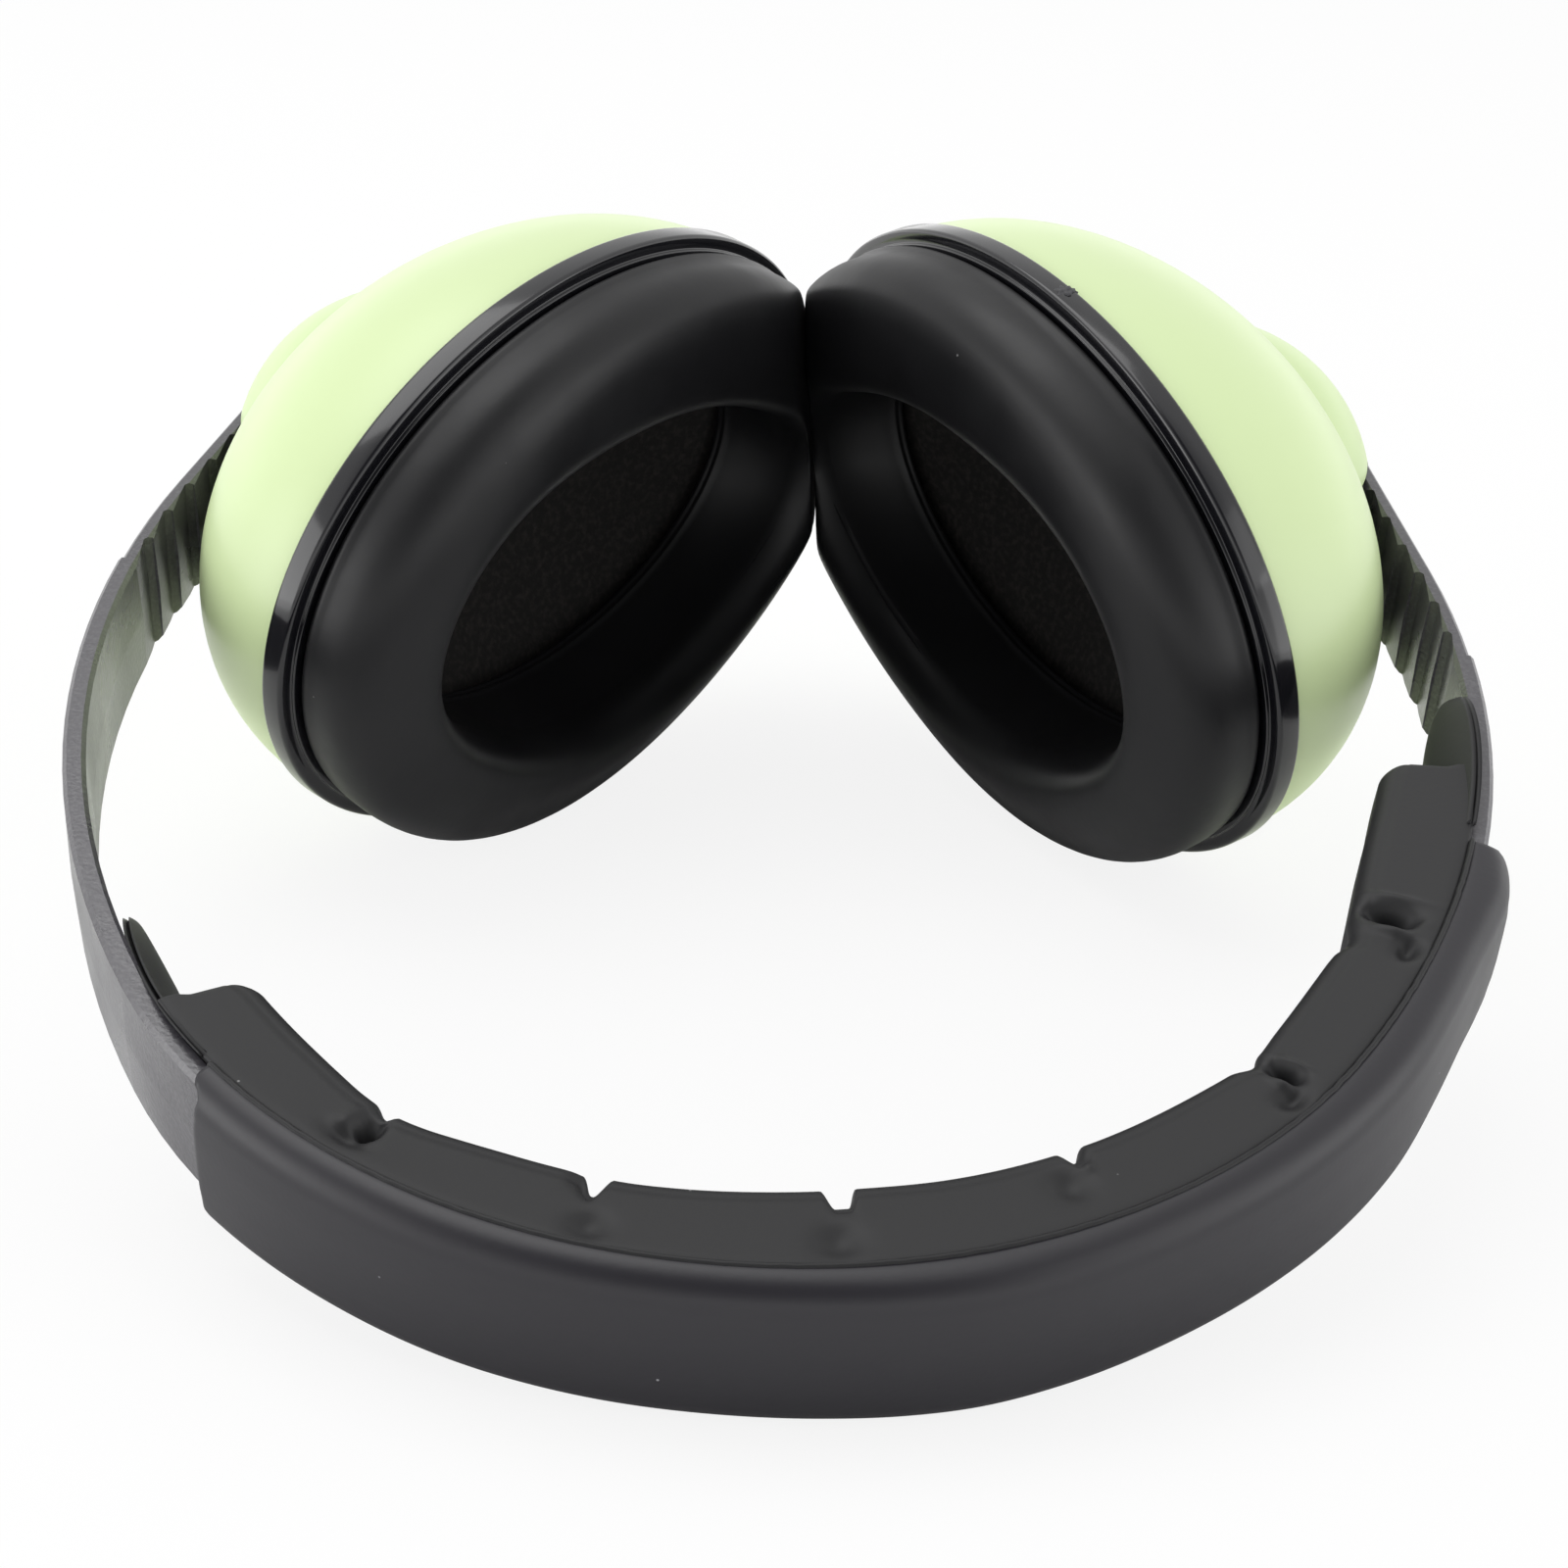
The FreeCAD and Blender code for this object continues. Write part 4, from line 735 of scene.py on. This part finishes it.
def lean_mouth(side, turn, out, up):
    """Move the mouth's side of the section in or out, and make its edge stand a little taller."""
    degrees = math.degrees(turn) % 360
    if side == "right":
        degrees = 360 - degrees
    lean = fair_value(MOUTH_LEAN, degrees) * smooth_step((2 - out) / 6) * smooth_step(up / 7)
    rise = MOUTH_RISE * smooth_step((3 - out) / 8) * smooth_step((up - 2) / 6)
    return out - lean, up + rise


# %% Where the cushions press each other
TO_BAND = BAND.inverted()
PRESS_PLACE = -0.85
PRESS_LEAN = -0.097
PRESS_GAP = 0.03
PRESS_SOFT = 0.4
PRESS_REACH = 6.0


def press_flat(point, side, matrix):
    """Keep a point on its own side of the plane where the two cushions meet."""
    sign = 1 if side == "right" else -1
    spot = TO_BAND @ (matrix @ point)
    room = (spot.x - PRESS_PLACE - PRESS_LEAN * spot.z) * sign - PRESS_GAP
    kept = (room + math.sqrt(room * room + PRESS_SOFT * PRESS_SOFT)) / 2
    spot.x += sign * (kept - room) * smooth_step((PRESS_REACH - room) / PRESS_REACH)
    return matrix.inverted() @ (BAND @ spot)


# %% Cushion
CROWN_RISE = 7.0
CROWN_BULGE = 0.35
FLARE_TOP = 5.4
FLARE_FADE = 2.2


def cushion_place(side, turn, angle):
    """Place (out, up) of a cushion's point: the plain section, spread, flared and leaning."""
    out, up = cushion_section(angle)
    crown = smooth_step((up - CUSHION_FOOT) / CROWN_RISE)
    height = spread_height(side, turn)
    up += height * crown
    out += CROWN_BULGE * height * crown * smooth_step(out / 3.0)
    out += foot_flare(side, turn) * smooth_step((FLARE_TOP - up) / FLARE_FADE) * smooth_step(out / 4)
    return lean_mouth(side, turn, out, up)


def make_cushion(side):
    matrix = CUPS[side]
    shape = bmesh.new()
    circle = bmesh.ops.create_circle(shape, segments=SECTION_STEPS, radius=1.0,
                                     matrix=Matrix.Rotation(math.pi / 2, 4, "X"))
    bmesh.ops.translate(shape, verts=circle["verts"], vec=(SPIN_RADIUS, 0, 0))
    bmesh.ops.spin(shape, geom=shape.edges[:], cent=(0, 0, 0), axis=(0, 0, 1),
                   angle=2 * math.pi, steps=RING_STEPS, use_merge=True)
    for vert in shape.verts:
        turn = math.atan2(vert.co.y, vert.co.x)
        angle = math.atan2(vert.co.z, math.hypot(vert.co.x, vert.co.y) - SPIN_RADIUS)
        out, up = cushion_place(side, turn, angle)
        vert.co = press_flat(ring_point(turn, out, up, LINE_LONG, LINE_SHORT), side, matrix)
    names = ["cushion_%s_%s" % (part, side) for part in ("skin", "foam", "clip_ring")]
    piece = make_piece("cushion_" + side, shape, matrix, CUSHION, "cup_" + side, names)


# %% [markdown]
# ## Collars
# Inside the mouth the cushion's skin runs on as a thin collar, down to the foam in the cup. Its
# foot is welded and shows as a double line. The cushion's own section could be carried on that
# far, but it is a round tube that closes on itself. A thin wall of its own, spun in the same way
# and moved by the same functions, follows the slipped mouth and keeps the weld sharp.

# %% Collar
COLLAR = ((-5.5, 7.9), (-5.64, 7.2), (-5.71, 6.5), (-5.73, 5.6), (-5.75, 4.6), (-5.78, 3.6),
          (-5.82, 2.6), (-5.87, 1.6), (-5.9, 0.95), (-6.02, 0.8), (-6.02, 0.6), (-5.93, 0.45),
          (-5.93, 0.2), (-6.05, 0.05), (-6.05, -0.15), (-6.0, -0.4), (-5.4, -0.4), (-5.3, 1.3),
          (-5.2, 3.0), (-5.1, 5.0), (-5.0, 7.6))


def make_collar(side):
    matrix = CUPS[side]
    shape = spin_section(COLLAR)
    for vert in shape.verts:
        turn, out, up = ring_place(vert)
        out, up = lean_mouth(side, turn, out, up)
        vert.co = press_flat(ring_point(turn, out, up, LINE_LONG, LINE_SHORT), side, matrix)
    make_piece("collar_" + side, shape, matrix, CUSHION, "cup_" + side,
               ("cushion_skin_" + side,))


for side in SIDES:
    make_cushion(side)
    make_collar(side)

# %% [markdown]
# ## Rims
# The glossy ring between shell and cushion has a main band, a groove and a smaller lip. The packed
# ring could be repainted, but gloss shows best on small round edges that catch the lamps. So its
# section is drawn again with such edges, and spun.

# %% Rim
RIM_PROUD = 0.3


def rim_section():
    """Closed section of the ring: out from the shell's outline, and up towards the head."""
    band = [(-9.0, 0.2), (-0.6, 0.0), (0.05, 0.0)]
    band += arc_points((-0.05, 0.45), 0.4, -60, 0, 3)
    band += arc_points((-0.15, 2.15), 0.5, 0, 80, 5)
    lip = [(-0.55, 2.7), (-0.95, 2.7), (-1.05, 2.78)]
    lip += arc_points((-1.25, 2.92), 0.2, -10, 80, 4)
    return band + lip + [(-2.2, 3.08), (-9.0, 3.1), (-10.2, 2.8), (-10.4, 0.8)]


def make_rim(side):
    shape = spin_section(rim_section())
    for vert in shape.verts:
        turn, out, up = ring_place(vert)
        vert.co = ring_point(turn, out + RIM_PROUD, up, CUP_LONG, CUP_SHORT)
    make_piece("rim_" + side, shape, CUPS[side], RIM, "cup_" + side, ("rim_ring_" + side,))


# %% [markdown]
# ## Torn stubs
# Each rim was moulded on a runner and torn off it, which leaves a small rough stub on the upper
# side. It could be carved into the rim. A ball, roughened by noise, flattened and sunk into the
# band, gives the same torn look, and the rim's own mesh stays clean.

# %% Torn stub
SCAR_TURN = {"left": -99.0, "right": 95.0}
SCAR_SIZE = {"left": 0.6, "right": 1.0}
SCAR_LONG = 1.1
SCAR_WIDE = 0.55
SCAR_UP = 1.0
TORN_DEEP = 0.45
TORN_FINE = 2.3


def make_scar(side):
    shape = bmesh.new()
    bmesh.ops.create_icosphere(shape, subdivisions=4, radius=1.0)
    spot, normal = oval_point(math.radians(SCAR_TURN[side]), RIM_PROUD, CUP_LONG, CUP_SHORT)
    along = Vector((-normal.y, normal.x, 0))
    for vert in shape.verts:
        torn = 1 + TORN_DEEP * noise.noise(vert.co * TORN_FINE + Vector((4, 1, 7)))
        lump = vert.co * torn * SCAR_SIZE[side]
        vert.co = spot + along * lump.x * SCAR_LONG + normal * lump.y * SCAR_WIDE
        vert.co.z += lump.z * SCAR_LONG - SCAR_UP
    make_piece("scar_" + side, shape, CUPS[side], SCAR, "cup_" + side, ())


for side in SIDES:
    make_rim(side)
    make_scar(side)

# %% [markdown]
# ## Foam in the cups
# What shows through the mouth is the dished face of an open foam block. Only that face is seen, so
# a plain disc would do for the picture. A ball pressed to the oval, with a dish in front and a
# full back, is a closed body that fits in the shell. The pores are left to the bump of its finish.

# %% Liner
LINER_LONG = 36.5
LINER_SHORT = 25.3
LINER_EDGE = 0.8
LINER_BACK = 15.0
LINER_UNEVEN = 0.25
DISH_DEPTH = 7.0


def make_liner(side):
    shape = bmesh.new()
    bmesh.ops.create_uvsphere(shape, u_segments=96, v_segments=48, radius=1.0)
    for vert in shape.verts:
        spread = math.hypot(vert.co.x, vert.co.y)
        if vert.co.z > 0:
            deep = LINER_EDGE + LINER_BACK * (1 - spread ** 6)
        else:
            deep = LINER_EDGE + DISH_DEPTH * smooth_step((1 - spread) / 0.75) ** 0.8
        wobble = noise.noise(Vector((vert.co.x * 3, vert.co.y * 3, 5.0))) * LINER_UNEVEN
        vert.co = Vector((vert.co.x * LINER_LONG, vert.co.y * LINER_SHORT, deep + wobble))
    piece = make_piece("liner_" + side, shape, CUPS[side], LINER, "cup_" + side,
                       ("foam_liner_" + side,))


for side in SIDES:
    make_liner(side)

# %% [markdown]
# ## Camera
# The camera stands close in front of the crown, about a quarter of a metre away and looking down,
# which gives the strong perspective of the picture. It could be aimed with a Track To constraint. Its
# place and three angles in the band frame were fitted to the photo, so they are set as they are.

# %% Camera
CAMERA_SPOT = Vector((7.88, -210.06, 164.97))
CAMERA_TURN = math.radians(-2.149)
CAMERA_DOWN = math.radians(38.122)
CAMERA_ROLL = math.radians(2.980)
FOCAL_PIXELS = 2991.8
SHIFT_PIXELS = (17.744, 69.531)
PICTURE_PIXELS = 1600
SENSOR = 36.0


def camera_axes():
    """Right, up and backwards of the camera in the band frame, as the columns of a matrix."""
    down = CAMERA_DOWN
    turn = CAMERA_TURN
    forward = Vector((math.sin(turn) * math.cos(down), math.cos(turn) * math.cos(down),
                      -math.sin(down)))
    level = Vector((math.cos(turn), -math.sin(turn), 0))
    upward = level.cross(forward)
    right = level * math.cos(CAMERA_ROLL) + upward * math.sin(CAMERA_ROLL)
    up = upward * math.cos(CAMERA_ROLL) - level * math.sin(CAMERA_ROLL)
    return Matrix((right, up, -forward)).transposed()


def make_camera():
    lens = bpy.data.cameras.new("camera")
    lens.sensor_width = SENSOR
    lens.lens = SENSOR * FOCAL_PIXELS / PICTURE_PIXELS
    lens.shift_x = SHIFT_PIXELS[0] / PICTURE_PIXELS
    lens.shift_y = SHIFT_PIXELS[1] / PICTURE_PIXELS
    lens.clip_start = 0.01
    camera = bpy.data.objects.new("camera", lens)
    scene.collection.objects.link(camera)
    axes = BAND.to_3x3().normalized() @ camera_axes()
    camera.matrix_world = Matrix.Translation(BAND @ CAMERA_SPOT) @ axes.to_4x4()
    scene.camera = camera
    print("lens, mm", round(lens.lens, 1))


make_camera()

# %% [markdown]
# ## Floor and surround
# The object lies on white in a white studio. A bright lamp on a pale floor would wash out the black
# parts before the floor turned white. So the camera sees a white of its own in floor and world,
# through Is Camera Ray, while the object is lit by plain white at a plain level. The floor keeps
# a part of its own shader, which holds the shadow.

# %% White for the camera


def show_to_camera(tree, lit, white, share, surface):
    """What the camera sees directly is the white shader, as far as the share says."""
    ray = tree.nodes.new("ShaderNodeLightPath")
    part = tree.nodes.new("ShaderNodeMath")
    part.operation = "MULTIPLY"
    part.inputs[1].default_value = share
    mix = tree.nodes.new("ShaderNodeMixShader")
    tree.links.new(ray.outputs["Is Camera Ray"], part.inputs[0])
    tree.links.new(part.outputs[0], mix.inputs[0])
    tree.links.new(lit.outputs[0], mix.inputs[1])
    tree.links.new(white.outputs[0], mix.inputs[2])
    tree.links.new(mix.outputs[0], surface)


# %% Floor
FLOOR_HALF = 4.0
FLOOR_WHITE = 0.86


def make_floor():
    shape = bmesh.new()
    bmesh.ops.create_grid(shape, x_segments=1, y_segments=1, size=FLOOR_HALF)
    mesh = bpy.data.meshes.new("floor")
    shape.to_mesh(mesh)
    shape.free()
    material = bpy.data.materials.new("floor_white")
    material.use_nodes = True
    tree = material.node_tree
    shader = tree.nodes["Principled BSDF"]
    shader.inputs["Base Color"].default_value = (0.9, 0.9, 0.9, 1)
    shader.inputs["Roughness"].default_value = 0.9
    glow = tree.nodes.new("ShaderNodeEmission")
    glow.inputs["Color"].default_value = (1, 1, 1, 1)
    show_to_camera(tree, shader, glow, FLOOR_WHITE, tree.nodes["Material Output"].inputs["Surface"])
    mesh.materials.append(material)
    floor = bpy.data.objects.new("floor", mesh)
    scene.collection.objects.link(floor)
    print("floor, m", 2 * FLOOR_HALF)


make_floor()

# %% [markdown]
# ## Studio light
# An even white surround would lift every black to the same grey. The world is therefore dimmer in
# one patch above the camera, which the black skins would mirror, and brighter near the horizon,
# which lights the green shells low down. Four soft square lamps add the broad highlights.

# %% World
DIM_TOWARDS = (0.0, -0.62, 0.78)
DIM_EDGE = 0.72
DIM_MIDDLE = 0.96
DIM_STRENGTH = 0.12
HORIZON_STRENGTH = 1.6
HIGH_STRENGTH = 0.9
HORIZON_TOP = 0.4


def make_world():
    world = bpy.data.worlds.new("studio")
    scene.world = world
    world.use_nodes = True
    tree = world.node_tree
    where = tree.nodes.new("ShaderNodeTexCoord").outputs["Generated"]
    ahead = tree.nodes.new("ShaderNodeVectorMath")
    ahead.operation = "DOT_PRODUCT"
    ahead.inputs[1].default_value = DIM_TOWARDS
    tree.links.new(where, ahead.inputs[0])
    axes = tree.nodes.new("ShaderNodeSeparateXYZ")
    tree.links.new(where, axes.inputs[0])
    dimmed = add_ramp(tree, ahead.outputs["Value"], DIM_EDGE, DIM_MIDDLE, 1.0, DIM_STRENGTH)
    low = add_ramp(tree, axes.outputs["Z"], 0.0, HORIZON_TOP, HORIZON_STRENGTH, HIGH_STRENGTH)
    back = tree.nodes["Background"]
    back.inputs["Color"].default_value = (1, 1, 1, 1)
    tree.links.new(add_product(tree, dimmed, low), back.inputs["Strength"])
    white = tree.nodes.new("ShaderNodeBackground")
    white.inputs["Color"].default_value = (1, 1, 1, 1)
    white.inputs["Strength"].default_value = 1.0
    show_to_camera(tree, back, white, 1.0, tree.nodes["World Output"].inputs["Surface"])


make_world()

# %% Lamps
CUPS_MIDDLE = (0, 0.08, 0.02)


def make_lamp(name, spot, aim, size, power):
    light = bpy.data.lights.new(name, "AREA")
    light.shape = "SQUARE"
    light.size = size
    light.energy = power
    lamp = bpy.data.objects.new(name, light)
    scene.collection.objects.link(lamp)
    lamp.location = spot
    lamp.rotation_euler = (Vector(aim) - Vector(spot)).to_track_quat("-Z", "Y").to_euler()
    print(name, power, "W")


make_lamp("lamp_top", (-0.25, 0.2, 0.9), CUPS_MIDDLE, 0.7, 3.0)
make_lamp("lamp_side", (0.7, -0.3, 0.6), CUPS_MIDDLE, 0.4, 0.4)
make_lamp("lamp_left", (-0.6, -0.1, 0.14), (-0.05, 0.1, 0.03), 0.4, 1.0)
make_lamp("lamp_right", (0.6, 0.0, 0.12), (0.05, 0.12, 0.03), 0.4, 0.5)

# %% Finish
scene.view_settings.view_transform = "Standard"
